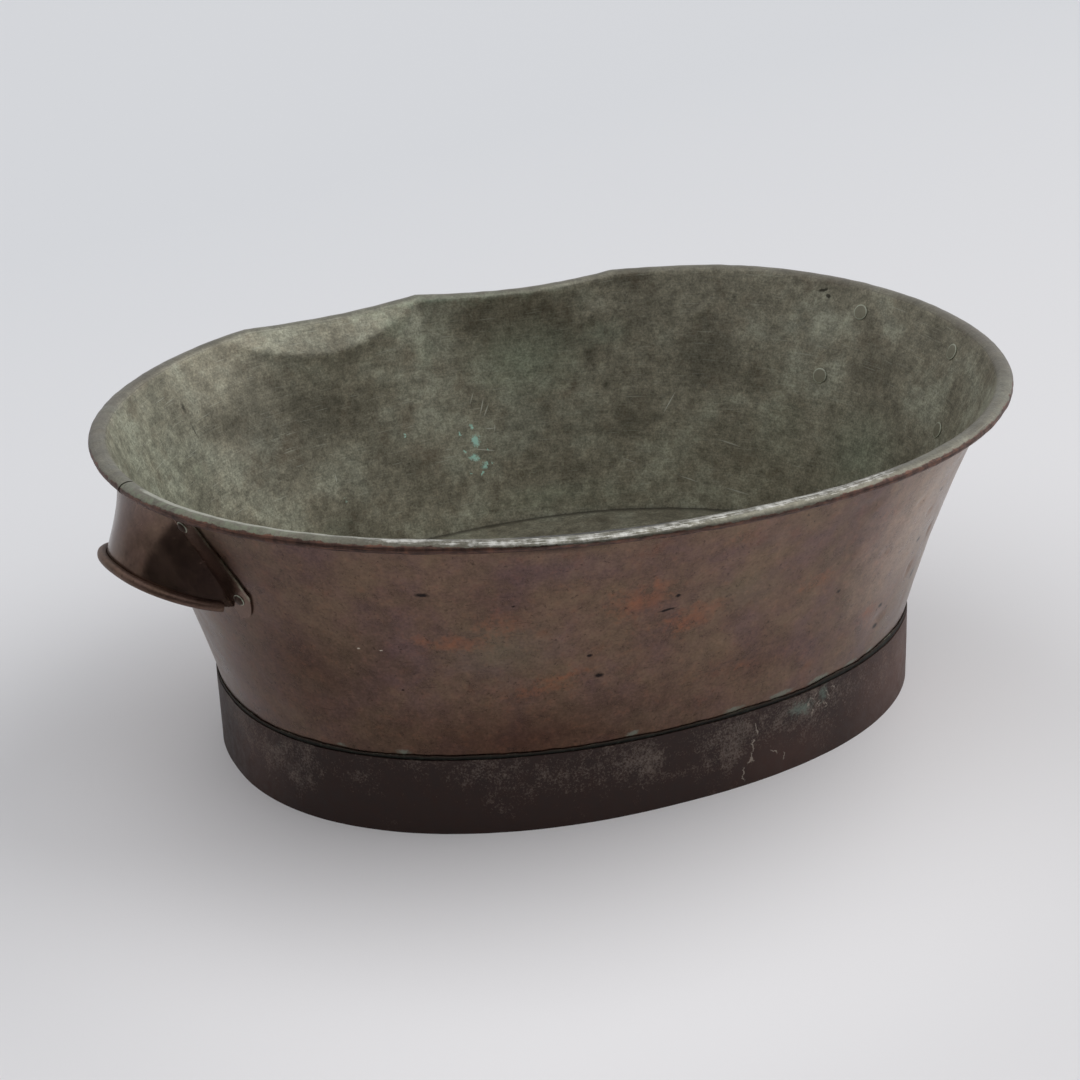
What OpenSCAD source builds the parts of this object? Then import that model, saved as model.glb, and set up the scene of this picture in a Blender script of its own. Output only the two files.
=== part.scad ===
// Antique oval tub of sheet copper: a flared bowl in two sheets with a wired
// rim, a flat floor, an iron foot band and two riveted pocket handles.
// Millimetres, +Z up, X along the tub, the ground at Z = 0.

/* [Bowl] */
// Length over the rim, outside
rim_length = 714; // [600:2:820]
// Width over the rim, outside
rim_width = 576; // [500:2:660]
// Squareness of the rim's oval, where 2 is an ellipse
rim_squareness = 2.1; // [2:0.05:2.5]
// Height from the ground to the top of the rim at its ends
tub_height = 258; // [210:1:320]
// Thickness of the copper sheet
sheet = 1.2; // [0.8:0.1:2]
// How far the wall's section hangs in from a straight line at half height
wall_hollow = 5; // [0:0.5:12]
// Height of the floor's upper face above the foot band's top edge
floor_step = 4; // [0:0.5:10]
// Depth of the floor's turned-down edge
floor_edge = 12; // [6:1:25]
// Depth of the wall's skirt inside the foot band
skirt_depth = 16; // [6:1:28]
// Turn of the two end seams from the tub's long axis
seam_turn = 7; // [-8:0.5:8]

/* [Rim] */
// Width of the rolled rim, from inside to outside
roll_width = 13.5; // [9:0.5:18]
// Height of the rolled rim
roll_height = 9; // [7:0.5:13]
// How far the hand-bent rim rises and dips along its diagonals
rim_wave = 2.8; // [0:0.2:6]
// How much higher the rim lies at the back than at its ends
rim_back_rise = 5.7; // [0:0.2:10]

/* [Dents in the back rim] */
// Direction of the wide dent
wide_dent_at = 80; // [60:1:100]
// Half the angle that the wide dent takes
wide_dent_span = 42; // [20:1:50]
// How far the wide dent pushes the rim in
wide_dent_in = 18; // [0:1:24]
// How far the wide dent pushes the rim down
wide_dent_down = 2.2; // [0:0.2:5]
// Direction of the left bite
left_bite_at = 104.5; // [98:0.5:112]
// Half the angle that the left bite takes
left_bite_span = 13; // [6:1:16]
// How far the left bite pushes the rim in
left_bite_in = 9; // [0:1:14]
// How far the left bite pushes the rim down
left_bite_down = 2.6; // [0:0.2:5]
// Direction of the right bite
right_bite_at = 77; // [70:0.5:84]
// Half the angle that the right bite takes
right_bite_span = 14.5; // [6:0.5:18]
// How far the right bite pushes the rim in
right_bite_in = 12; // [0:1:16]
// How far the right bite pushes the rim down
right_bite_down = 3.3; // [0:0.2:5]
// How fast the dents fade down the wall, where 1 is evenly
dent_fade = 3; // [1.2:0.1:4]
// Direction of the crease in the wall under the left bite
crease_at = 107; // [100:0.5:114]
// Half the angle that the crease takes
crease_span = 15; // [8:0.5:20]
// How far the crease stands in from the wall
crease_in = 9; // [0:0.5:12]
// How far the middle of the crease lies below the rim's centre
crease_drop = 22; // [12:1:40]

/* [Foot] */
// Length of the foot band, outside
foot_length = 560; // [480:2:640]
// Width of the foot band, outside
foot_width = 420; // [360:2:480]
// Height of the foot band
foot_height = 59; // [35:1:80]
// Thickness of the iron of the foot band
band_thickness = 2; // [1.5:0.25:4]
// Squareness of the foot's oval, where 2 is an ellipse
foot_squareness = 2.2; // [2:0.05:2.6]
// Height of the solder bead on the foot band's top edge
seam_height = 4.5; // [2:0.5:8]

/* [Handles] */
// Turn of both handles from the tub's long axis
handle_turn = 5.5; // [-8:0.5:8]
// Width of a handle between its folds at the top
handle_top_width = 100; // [80:1:120]
// Width of a handle between its folds at the bottom
handle_bottom_width = 132; // [110:1:150]
// Distance below the rim's centre at which a handle starts
handle_drop = 10; // [7:1:16]
// Distance below the rim's centre at which a handle's sides end
handle_side_drop = 81; // [70:1:95]
// How far the middle of a handle's lower edge rises above its ends
handle_arch = 23; // [0:1:32]
// How far a handle's lower edge stands out from the wall
handle_stand = 42; // [30:1:52]
// How far a handle's upper edge stands out from the wall
handle_top_stand = 4; // [1:0.5:6]
// Width of the flanges that lie on the wall
flange_width = 23; // [18:1:26]
// How far the flanges reach below the handle's lower edge
flange_tab = 8; // [0:1:16]
// Diameter of the bead round a handle's lower edge
bead_diameter = 7.2; // [6:0.2:9]

/* [Rivets] */
// Diameter of a rivet's shank
rivet_diameter = 4.8; // [3:0.2:6]
// Diameter of a rivet's head
rivet_head = 9; // [7:0.5:12]
// Height of a rivet's head
rivet_head_height = 2.4; // [1.5:0.1:4]
// Diameter of the flattened tail inside the tub
rivet_tail = 13; // [9:0.5:16]
// Thickness of the flattened tail
rivet_tail_height = 0.8; // [0.5:0.1:1.5]
// Distance between the two upper rivets of a handle
upper_rivet_spacing = 114; // [96:1:136]
// Distance between the two lower rivets of a handle
lower_rivet_spacing = 153; // [134:1:168]
// Distance of the upper rivets below the rim's centre
upper_rivet_drop = 17; // [16:0.5:26]
// Distance of the lower rivets below the rim's centre
lower_rivet_drop = 72; // [60:1:80]

/* [Fits] */
// Gap between pieces that are soldered or seated on each other
fit_gap = 0.3; // [0.2:0.05:0.5]
// Gap between a wire and the roll round it
wire_gap = 0.15; // [0.1:0.05:0.3]
// Gap round a rivet's shank
rivet_gap = 0.1; // [0.05:0.05:0.3]
// Gap between the two wall sheets at each end seam
end_seam_gap = 0.3; // [0.1:0.1:1]

/* [Hidden] */

// Steps round half of the tub
half_steps = 60;
full_turn = 360;
half_turn = 180;
degrees_per_radian = half_turn / PI;

// The rim's roll, from its centre
roll_a = roll_width / 2;
roll_b = roll_height / 2;
rim_a = rim_length / 2 - roll_a;
rim_b = rim_width / 2 - roll_a;
rim_z = tub_height - roll_b;
// The wall meets the roll at the first of these angles, and the roll's edge
// ends at the last, after it has gone over the top and round the outside
roll_start = 162;
roll_end = -145;
roll_steps = 8;

foot_a = foot_length / 2;
foot_b = foot_width / 2;
// How far the middle of the wall's sheet lies inside the foot band's outside
skirt_inset = band_thickness + fit_gap + sheet / 2;
// How far the floor's edge lies inside the foot band's outside
floor_inset = skirt_inset + sheet / 2 + fit_gap;
floor_z = foot_height + floor_step;

// Heights of the wall's rings, as shares of the way from the foot to the rim
wall_rings = [0, 0.16, 0.32, 0.48, 0.62, 0.74, 0.83, 0.9];
// The crease fades out down to this share of the height
crease_end = 0.4;

// A handle's sheet lies this far off the middle of the wall's sheet
flange_off = sheet + fit_gap;
bead_r = bead_diameter / 2;
handle_columns = 20;
flange_columns = 3;
handle_rows = 5;
// The handle's bead ends just short of the folds
bead_end = 0.95;
bead_columns = 24;
bead_steps = 9;
// The bead curls from inside the handle's lower edge, down and out and back up
bead_from = 200;
bead_to = -125;
// Shape of a handle's outline from above
bow_inner = 2.5;
bow_outer = 0.8;
// How steeply the flange's rounded lower end turns up to its outer edge
tab_round = 3;
tab_rise = 22;
// A small step for slopes
nudge = 0.02;

wire_sides = 10;
rivet_fn = 32;

// A number to a power, with its sign kept
function signed_power(v, e) = sign(v) * pow(abs(v), e);

// A point on an oval with the given half length, half width and squareness
function oval(t, a, b, n) =
    [a * signed_power(cos(t), 2 / n), b * signed_power(sin(t), 2 / n)];

// The direction that points straight out of the rim's oval
function outward(t) =
    let (e = 2 - 2 / rim_squareness)
    let (g = [signed_power(cos(t), e) / rim_a, signed_power(sin(t), e) / rim_b])
    g / norm(g);

// A soft hollow that fades at both ends, and a bite that has a kink at each end
function hollow(t, at, span) = pow(max(0, 1 - pow((t - at) / span, 2)), 2);
function bite(t, at, span) = max(0, 1 - pow((t - at) / span, 2));

function dent_in(t) =
    wide_dent_in * hollow(t, wide_dent_at, wide_dent_span)
    + left_bite_in * bite(t, left_bite_at, left_bite_span)
    + right_bite_in * bite(t, right_bite_at, right_bite_span);
function dent_down(t) =
    wide_dent_down * hollow(t, wide_dent_at, wide_dent_span)
    + left_bite_down * bite(t, left_bite_at, left_bite_span)
    + right_bite_down * bite(t, right_bite_at, right_bite_span);

// The centre of the rim's roll, before and after the dents
function true_rim(t) =
    let (p = oval(t, rim_a, rim_b, rim_squareness))
    [p[0], p[1], rim_z + rim_wave * sin(2 * t) + rim_back_rise * p[1] / rim_b];
function along(u, out, up) = [u[0] * out, u[1] * out, up];
function roll_centre(t) = true_rim(t) - along(outward(t), dent_in(t), dent_down(t));

// A point on the roll, at an angle round it and with its own half sizes
function on_roll(t, angle, a, b) =
    roll_centre(t) + along(outward(t), a * cos(angle), b * sin(angle));

// The middle of the wall's sheet, from the foot band's top (0) to the roll (1)
function wall_foot(t) =
    let (p = oval(t, foot_a - skirt_inset, foot_b - skirt_inset, foot_squareness))
    [p[0], p[1], foot_height];
function wall_top(t) =
    true_rim(t) + along(outward(t), (roll_a - sheet / 2) * cos(roll_start),
        (roll_b - sheet / 2) * sin(roll_start));
function wall_middle(t, k) =
    let (foot = wall_foot(t), top = wall_top(t), fade = pow(k, dent_fade))
    foot + (top - foot) * k
    - along(outward(t), wall_hollow * 4 * k * (1 - k) + dent_in(t) * fade + crease_push(t, k),
        dent_down(t) * fade);

// The crease runs in an arc under the rim, with a flat facet above it
function crease_push(t, k) =
    let (share = bite(t, crease_at, crease_span))
    let (line = 1 - share * crease_drop / (rim_z - foot_height))
    let (above = (1 - k) / max(nudge, 1 - line))
    let (below = pow(max(0, (k - crease_end) / (line - crease_end)), 2))
    crease_in * share * min(above, below, 1);

// The wall's own outward direction, which leans down as the wall flares
function wall_normal(t, k) =
    let (low = wall_middle(t, max(0, k - nudge)), high = wall_middle(t, min(1, k + nudge)))
    let (rise = high - low, u = outward(t))
    let (n = along(u, rise[2], -(rise[0] * u[0] + rise[1] * u[1])))
    n / norm(n);
function wall_at(t, k, off) = wall_middle(t, k) + off * wall_normal(t, k);

// One section through the wall and its roll: up the outside and round the
// inside of the roll, then back round its outside and down the inside
function wall_side(t, off) = concat(
    [wall_foot(t) + along(outward(t), off, -skirt_depth)],
    [wall_foot(t) + along(outward(t), off, 0)],
    [for (i = [1:len(wall_rings) - 1]) wall_at(t, wall_rings[i], off)],
    [for (i = [0:roll_steps])
        on_roll(t, roll_start + (roll_end - roll_start) * i / roll_steps,
            roll_a - sheet / 2 - off, roll_b - sheet / 2 - off)]);
function backwards(list) = [for (i = [len(list) - 1:-1:0]) list[i]];
function wall_section(t) = concat(wall_side(t, sheet / 2), backwards(wall_side(t, -sheet / 2)));

// Triangles between rows of points, each row one closed section
function side_faces(rows, columns, closed) =
    [for (i = [0:rows - (closed ? 1 : 2)], j = [0:columns - 1])
        let (a = i * columns + j, b = i * columns + (j + 1) % columns)
        let (c = ((i + 1) % rows) * columns + (j + 1) % columns)
        let (d = ((i + 1) % rows) * columns + j)
        each [[a, b, c], [a, c, d]]];

// The two ends of a sweep whose section is a folded strip of sheet
function strip_ends(rows, columns) =
    let (last = (rows - 1) * columns)
    [for (j = [0:columns / 2 - 2])
        let (a = j, b = j + 1, c = columns - 2 - j, d = columns - 1 - j)
        each [[a, d, c], [a, c, b], [last + a, last + c, last + d], [last + a, last + b, last + c]]];

// The two ends of a sweep whose section is round
function round_ends(rows, columns) =
    let (last = (rows - 1) * columns)
    [for (j = [1:columns - 2]) each [[0, j + 1, j], [last, last + j, last + j + 1]]];

module strip_sweep(sections) {
    rows = len(sections);
    columns = len(sections[0]);
    polyhedron([for (s = sections) each s],
        concat(side_faces(rows, columns, false), strip_ends(rows, columns)), convexity = 10);
}

module round_sweep(sections) {
    rows = len(sections);
    columns = len(sections[0]);
    polyhedron([for (s = sections) each s],
        concat(side_faces(rows, columns, false), round_ends(rows, columns)), convexity = 10);
}

module ring_sweep(sections) {
    polyhedron([for (s = sections) each s],
        side_faces(len(sections), len(sections[0]), true), convexity = 10);
}

// The origin lies under the middle of the whole outline, dents and all
round_trip = [for (i = [0:2 * half_steps - 1]) seam_turn + i * half_turn / half_steps];
back_reach = max([for (t = round_trip) roll_centre(t)[1] + roll_a * outward(t)[1]]);
front_reach = min([for (t = round_trip) roll_centre(t)[1] + roll_a * outward(t)[1]]);
module in_place() {
    translate([0, -(back_reach + front_reach) / 2, 0])
        children();
}

// Where a point that lies so far beside a handle's middle, and so far below
// the rim's centre, is on the wall
function share_of_height(drop) = 1 - drop / (rim_z - foot_height);
function half_width_at(k) = foot_b + (rim_b - foot_b) * k;
function beside(end, side, k) =
    end + handle_turn + side * degrees_per_radian / half_width_at(k);

module rivet_at(end, side, drop) {
    k = share_of_height(drop);
    t = beside(end, side, k);
    n = wall_normal(t, k);
    translate(wall_middle(t, k))
        rotate([0, acos(n[2]), atan2(n[1], n[0])])
            children();
}

// The four places of one handle's rivets
module at_rivets(end) {
    for (way = [-1, 1]) {
        rivet_at(end, way * upper_rivet_spacing / 2, upper_rivet_drop) children();
        rivet_at(end, way * lower_rivet_spacing / 2, lower_rivet_drop) children();
    }
}

module rivet_hole() {
    cylinder(h = 8 * flange_off, d = rivet_diameter + 2 * rivet_gap, center = true, $fn = rivet_fn);
}

module wall_half(from) {
    gap_angle = end_seam_gap / 2 * degrees_per_radian / rim_b;
    first = from + gap_angle;
    sweep = half_turn - 2 * gap_angle;
    in_place()
        difference() {
            strip_sweep([for (i = [0:half_steps]) wall_section(first + sweep * i / half_steps)]);
            for (end = [0, half_turn])
                at_rivets(end) rivet_hole();
        }
}

module wall_front() {
    color("#6b5448") wall_half(half_turn + seam_turn);
}

module wall_back() {
    color("#665a4c") wall_half(seam_turn);
}

module rim_wire() {
    wire_a = roll_a - sheet - wire_gap;
    wire_b = roll_b - sheet - wire_gap;
    color("#4a4644")
        in_place()
            ring_sweep([for (t = round_trip)
                [for (j = [0:wire_sides - 1]) on_roll(t, j * full_turn / wire_sides, wire_a, wire_b)]]);
}

// A flat oval, set in from the foot band's outside
module foot_oval(inset) {
    polygon([for (t = round_trip) oval(t, foot_a - inset, foot_b - inset, foot_squareness)]);
}

module floor_pan() {
    color("#5d5f52")
        in_place()
            translate([0, 0, floor_z - floor_edge])
                difference() {
                    linear_extrude(height = floor_edge) foot_oval(floor_inset);
                    translate([0, 0, -sheet])
                        linear_extrude(height = floor_edge) foot_oval(floor_inset + sheet);
                }
}

module foot_seam() {
    off = sheet / 2 + fit_gap;
    width = band_thickness;
    seam_share = seam_height / (rim_z - foot_height);
    color("#2f352c")
        in_place()
            ring_sweep([for (t = round_trip)
                let (u = outward(t), low = wall_foot(t) + along(u, off, fit_gap))
                let (high = wall_at(t, seam_share, off))
                [
                    low,
                    low + along(u, width, 0),
                    low + along(u, width, seam_height / 2),
                    high + along(u, width / 3, -seam_height / 6),
                    high
                ]]);
}

module foot_band() {
    color("#3a322e")
        in_place()
            linear_extrude(height = foot_height)
                difference() {
                    foot_oval(0);
                    foot_oval(band_thickness);
                }
}

// A handle's outline from above, from 1 at its middle to 0 at its folds
function bow(q) = pow(max(0, 1 - pow(abs(q), bow_inner)), bow_outer);

// The middle of a handle's sheet. Across it, q runs from -2 through the folds
// at -1 and 1 to 2, and down it, v runs from 0 to 1.
function flange_share(q) = max(0, abs(q) - 1);
function handle_drop_at(q, v) =
    let (x = flange_share(q), tab = flange_tab - tab_rise * pow(x, tab_round))
    let (low = x > 0 ? handle_side_drop + tab
        : handle_side_drop - handle_arch * (1 - q * q))
    handle_drop + (low - handle_drop) * v;
function handle_side(q, v) =
    let (fold = (handle_top_width + (handle_bottom_width - handle_top_width) * v) / 2)
    sign(q) * (fold * min(1, abs(q)) + flange_width * flange_share(q));
function handle_off(q, v) = (handle_top_stand + (handle_stand - handle_top_stand) * v) * bow(q);
function handle_middle(end, q, v) =
    let (k = share_of_height(handle_drop_at(q, v)))
    let (t = beside(end, handle_side(q, v), k))
    wall_at(t, k, flange_off) + along(outward(t), handle_off(q, v), 0);
function handle_normal(end, q, v) =
    let (across = handle_middle(end, q + nudge, v) - handle_middle(end, q - nudge, v))
    let (down = handle_middle(end, q, min(1, v + nudge)) - handle_middle(end, q, max(0, v - nudge)))
    let (n = cross(down, across))
    n / norm(n);
function handle_face(end, q, v, off) = handle_middle(end, q, v) + off * handle_normal(end, q, v);

// Stations across a handle: the flanges take fewer steps than the bow
function handle_stations() = concat(
    [for (i = [0:flange_columns - 1]) -2 + i / flange_columns],
    [for (i = [0:handle_columns]) -1 + 2 * i / handle_columns],
    [for (i = [1:flange_columns]) 1 + i / flange_columns]);

// The bead's centre, and a ring of points round it
function bead_ring(end, q, radius, from, to, steps) =
    let (n = handle_normal(end, q, 1))
    let (edge = handle_middle(end, q, 1) + n * (bead_r - sheet / 2))
    let (ahead = handle_middle(end, q + nudge, 1) - handle_middle(end, q - nudge, 1))
    let (down = cross(ahead, n) / norm(cross(ahead, n)))
    [for (j = [0:steps])
        let (angle = from + (to - from) * j / steps)
        edge + radius * (n * cos(angle) + down * sin(angle))];
function bead_section(end, q) = concat(
    bead_ring(end, q, bead_r, bead_from, bead_to, bead_steps),
    backwards(bead_ring(end, q, bead_r - sheet, bead_from, bead_to, bead_steps)));
function bead_stations() = [for (i = [0:bead_columns]) bead_end * (-1 + 2 * i / bead_columns)];

module handle_shell(end) {
    in_place()
        difference() {
            union() {
                strip_sweep([for (q = handle_stations()) concat(
                    [for (i = [0:handle_rows]) handle_face(end, q, i / handle_rows, -sheet / 2)],
                    [for (i = [handle_rows:-1:0]) handle_face(end, q, i / handle_rows, sheet / 2)])]);
                strip_sweep([for (q = bead_stations()) bead_section(end, q)]);
            }
            at_rivets(end) rivet_hole();
        }
}

module handle_left() {
    color("#5f4c42") handle_shell(half_turn);
}

module handle_right() {
    color("#5f4c42") handle_shell(0);
}

module handle_wire(end) {
    color("#4a4644")
        in_place()
            round_sweep([for (q = bead_stations())
                bead_ring(end, q, bead_r - sheet - wire_gap, full_turn * (1 - 1 / wire_sides), 0,
                    wire_sides - 1)]);
}

module handle_left_wire() {
    handle_wire(half_turn);
}

module handle_right_wire() {
    handle_wire(0);
}

// One rivet along Z: its head outside the flange, its flat tail inside the wall
module rivet() {
    seat = flange_off + sheet / 2 + rivet_gap;
    tail = -sheet / 2 - fit_gap;
    head_r = rivet_head / 2;
    rotate_extrude($fn = rivet_fn)
        polygon([
            [0, tail - rivet_tail_height],
            [rivet_tail / 2, tail - rivet_tail_height],
            [rivet_tail / 2, tail],
            [rivet_diameter / 2, tail],
            [rivet_diameter / 2, seat],
            [head_r, seat],
            [head_r * 0.94, seat + rivet_head_height * 0.4],
            [head_r * 0.7, seat + rivet_head_height * 0.8],
            [head_r * 0.35, seat + rivet_head_height],
            [0, seat + rivet_head_height]
        ]);
}

module handle_left_rivets() {
    color("#54483e") in_place() at_rivets(half_turn) rivet();
}

module handle_right_rivets() {
    color("#54483e") in_place() at_rivets(0) rivet();
}

wall_front();
wall_back();
rim_wire();
floor_pan();
foot_seam();
foot_band();
handle_left();
handle_right();
handle_left_wire();
handle_right_wire();
handle_left_rivets();
handle_right_rivets();
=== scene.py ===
import math

import bpy
import numpy as np
from mathutils import Matrix, Vector, noise


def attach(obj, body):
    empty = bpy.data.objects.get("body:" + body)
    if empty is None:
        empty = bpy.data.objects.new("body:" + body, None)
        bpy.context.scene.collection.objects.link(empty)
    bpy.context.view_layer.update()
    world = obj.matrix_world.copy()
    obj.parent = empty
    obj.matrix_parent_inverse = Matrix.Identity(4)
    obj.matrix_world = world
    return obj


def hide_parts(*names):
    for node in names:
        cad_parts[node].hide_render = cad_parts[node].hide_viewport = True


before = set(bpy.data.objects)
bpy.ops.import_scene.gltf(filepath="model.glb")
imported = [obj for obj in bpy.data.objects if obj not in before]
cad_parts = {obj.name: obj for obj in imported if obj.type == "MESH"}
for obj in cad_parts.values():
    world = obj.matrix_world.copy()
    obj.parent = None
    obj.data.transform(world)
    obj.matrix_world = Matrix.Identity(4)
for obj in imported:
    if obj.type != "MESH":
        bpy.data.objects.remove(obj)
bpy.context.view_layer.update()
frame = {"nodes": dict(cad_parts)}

bl_info = {
    "name": "Oval Copper Tub",
    "version": (1, 0, 0),
    "blender": (4, 5, 0),
    "location": "View3D > Sidebar > Tub",
    "description": "Dresses an antique oval tub of sheet copper: bowl, floor, foot, handles and rivets",
    "category": "Object",
}

MM = 0.001

# Fixed forms of the tub, the same as in its construction. Millimetres and degrees.
RIM_SQUARENESS = 2.1
FOOT_SQUARENESS = 2.2
WALL_HOLLOW = 5.0
SEAM_TURN = 7.0
HANDLE_TURN = 5.5
RIM_WAVE = 2.8
RIM_BACK_RISE = 5.7
DENT_FADE = 3.0
ROLL_START = 162.0
ROLL_END = -145.0
FIT_GAP = 0.3
SKIRT_DEPTH = 16.0
FLOOR_STEP = 4.0
FLOOR_EDGE = 12.0
BAND_THICKNESS = 2.0
SEAM_HEIGHT = 4.5
# Each dent in the back rim: direction, half angle, push inwards, push down
WIDE_DENT = (80.0, 42.0, 18.0, 2.2)
LEFT_BITE = (104.5, 13.0, 9.0, 2.6)
RIGHT_BITE = (77.0, 14.5, 12.0, 3.3)
# The crease under the left bite: direction, half angle, push inwards, drop, lower end
CREASE = (107.0, 15.0, 9.0, 22.0, 0.4)
# Small dents in the walls: turn, share of the height, half length, half height, tilt, depth outwards
SMALL_DENTS = (
    (65.8, 0.86, 17, 6, -53, -1.3), (47.5, 0.84, 16, 6, -38, -1.1), (128.0, 0.66, 34, 20, 10, 0.9),
    (97.0, 0.60, 40, 26, 0, 0.8), (35.0, 0.55, 30, 26, 0, 0.8),
    (310.0, 0.64, 8, 5, 0, -0.9), (316.0, 0.50, 6, 9, 0, -1.0), (318.0, 0.76, 8, 5, 0, -0.8),
    (304.0, 0.74, 9, 5, 0, -0.7), (312.0, 0.36, 7, 9, 0, -0.9), (322.5, 0.62, 7, 8, 0, -0.9),
    (299.0, 0.56, 9, 7, 0, -0.5), (327.0, 0.44, 7, 8, 0, -0.8), (305.5, 0.20, 14, 8, 0, -0.8),
    (290.0, 0.86, 20, 10, 0, -0.6), (262.0, 0.60, 9, 3.5, 8, -0.6), (232.0, 0.70, 26, 18, 0, -0.6),
    (330.0, 0.80, 9, 7, 0, -0.9), (214.0, 0.30, 20, 16, 0, 0.5), (275.0, 0.32, 30, 18, 0, 0.5),
)
HANDLE_TOP_WIDTH = 100.0
HANDLE_BOTTOM_WIDTH = 132.0
HANDLE_DROP = 10.0
HANDLE_SIDE_DROP = 81.0
HANDLE_ARCH = 23.0
HANDLE_STAND = 42.0
HANDLE_TOP_STAND = 4.0
FLANGE_WIDTH = 23.0
FLANGE_TAB = 8.0
TAB_RISE = 22.0
BEAD_R = 3.6
# Half the spacing of a handle's rivets, and how far they lie below the rim's centre
RIVETS = ((57.0, 17.0), (76.5, 72.0))
FULL_TURN = 360.0
HALF_TURN = 180.0
# Two turns of the wall are measured, along this share of its height, to lay the marks out flat
MEASURED_SHARE = 0.6
MEASURED_STEPS = 1441
# How far apart, as a share, two points are that give a surface's direction
NEAR = 0.02


def linear(code):
    """The linear colour of a hex code, with an alpha of 1."""
    parts = [int(code[i:i + 2], 16) / 255 for i in (1, 3, 5)]
    return tuple(p / 12.92 if p <= 0.04045 else ((p + 0.055) / 1.055) ** 2.4 for p in parts) + (1.0,)


class TubSizes(bpy.types.PropertyGroup):
    rim_length: bpy.props.FloatProperty(
        name="Rim length", description="Length over the rolled rim, outside", default=0.714, unit="LENGTH")
    rim_width: bpy.props.FloatProperty(
        name="Rim width", description="Width over the rolled rim, outside", default=0.576, unit="LENGTH")
    height: bpy.props.FloatProperty(
        name="Height", description="Height of the rim at its ends", default=0.258, unit="LENGTH")
    foot_length: bpy.props.FloatProperty(
        name="Foot length", description="Length of the iron foot band", default=0.560, unit="LENGTH")
    foot_width: bpy.props.FloatProperty(
        name="Foot width", description="Width of the iron foot band", default=0.420, unit="LENGTH")
    foot_height: bpy.props.FloatProperty(
        name="Foot height", description="Height of the iron foot band", default=0.059, unit="LENGTH")
    sheet: bpy.props.FloatProperty(
        name="Sheet", description="Thickness of the copper sheet", default=0.0012, unit="LENGTH")
    roll_width: bpy.props.FloatProperty(
        name="Roll width", description="Width of the rolled rim", default=0.0135, unit="LENGTH")
    roll_height: bpy.props.FloatProperty(
        name="Roll height", description="Height of the rolled rim", default=0.009, unit="LENGTH")
    ripple: bpy.props.FloatProperty(
        name="Ripple", description="Depth of the broad hammered ripples in the walls", default=0.00045,
        unit="LENGTH")
    lumps: bpy.props.FloatProperty(
        name="Lumps", description="Depth of the hammer marks along the rolled rim", default=0.00035,
        unit="LENGTH")


class TubColours(bpy.types.PropertyGroup):
    patina: bpy.props.FloatVectorProperty(
        name="Patina", description="Brown patina on the outside of the copper",
        subtype="COLOR", size=4, min=0, max=1, default=linear("#745e51"))
    bare_copper: bpy.props.FloatVectorProperty(
        name="Bare copper", description="Rubbed places where the red copper shows",
        subtype="COLOR", size=4, min=0, max=1, default=linear("#985f45"))
    tin: bpy.props.FloatVectorProperty(
        name="Tin", description="Dull tin on the inside",
        subtype="COLOR", size=4, min=0, max=1, default=linear("#918d7c"))
    verdigris: bpy.props.FloatVectorProperty(
        name="Verdigris", description="Green corrosion spots",
        subtype="COLOR", size=4, min=0, max=1, default=linear("#c0ecde"))
    iron: bpy.props.FloatVectorProperty(
        name="Iron", description="Brown-black iron of the foot band",
        subtype="COLOR", size=4, min=0, max=1, default=linear("#1d1513"))
    ground: bpy.props.FloatVectorProperty(
        name="Ground", description="Pale floor of the studio",
        subtype="COLOR", size=4, min=0, max=1, default=linear("#d7d9dc"))


def signed_power(value, power):
    return np.sign(value) * np.abs(value) ** power


def cos(degrees):
    return np.cos(np.radians(degrees))


def sin(degrees):
    return np.sin(np.radians(degrees))


def oval(turn, half_length, half_width, squareness):
    return np.stack([half_length * signed_power(cos(turn), 2 / squareness),
                     half_width * signed_power(sin(turn), 2 / squareness),
                     np.zeros_like(turn)], -1)


def bite(turn, at, span):
    return np.maximum(0, 1 - ((turn - at) / span) ** 2)


def between(value, low, high, fade):
    """1 between two values, and down to 0 at them over the width of the fade."""
    return np.clip(np.minimum(value - low, high - value) / fade, 0, 1)


def unit(vectors):
    return vectors / np.linalg.norm(vectors, axis=-1, keepdims=True)


def uneven(points, size, seed=0.0):
    """Smooth noise of about -1 to 1 at points in millimetres, with lumps of the given size."""
    flat = points.reshape(-1, 3) / size + seed
    return np.array([noise.noise(Vector(p)) for p in flat]).reshape(points.shape[:-1])


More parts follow.
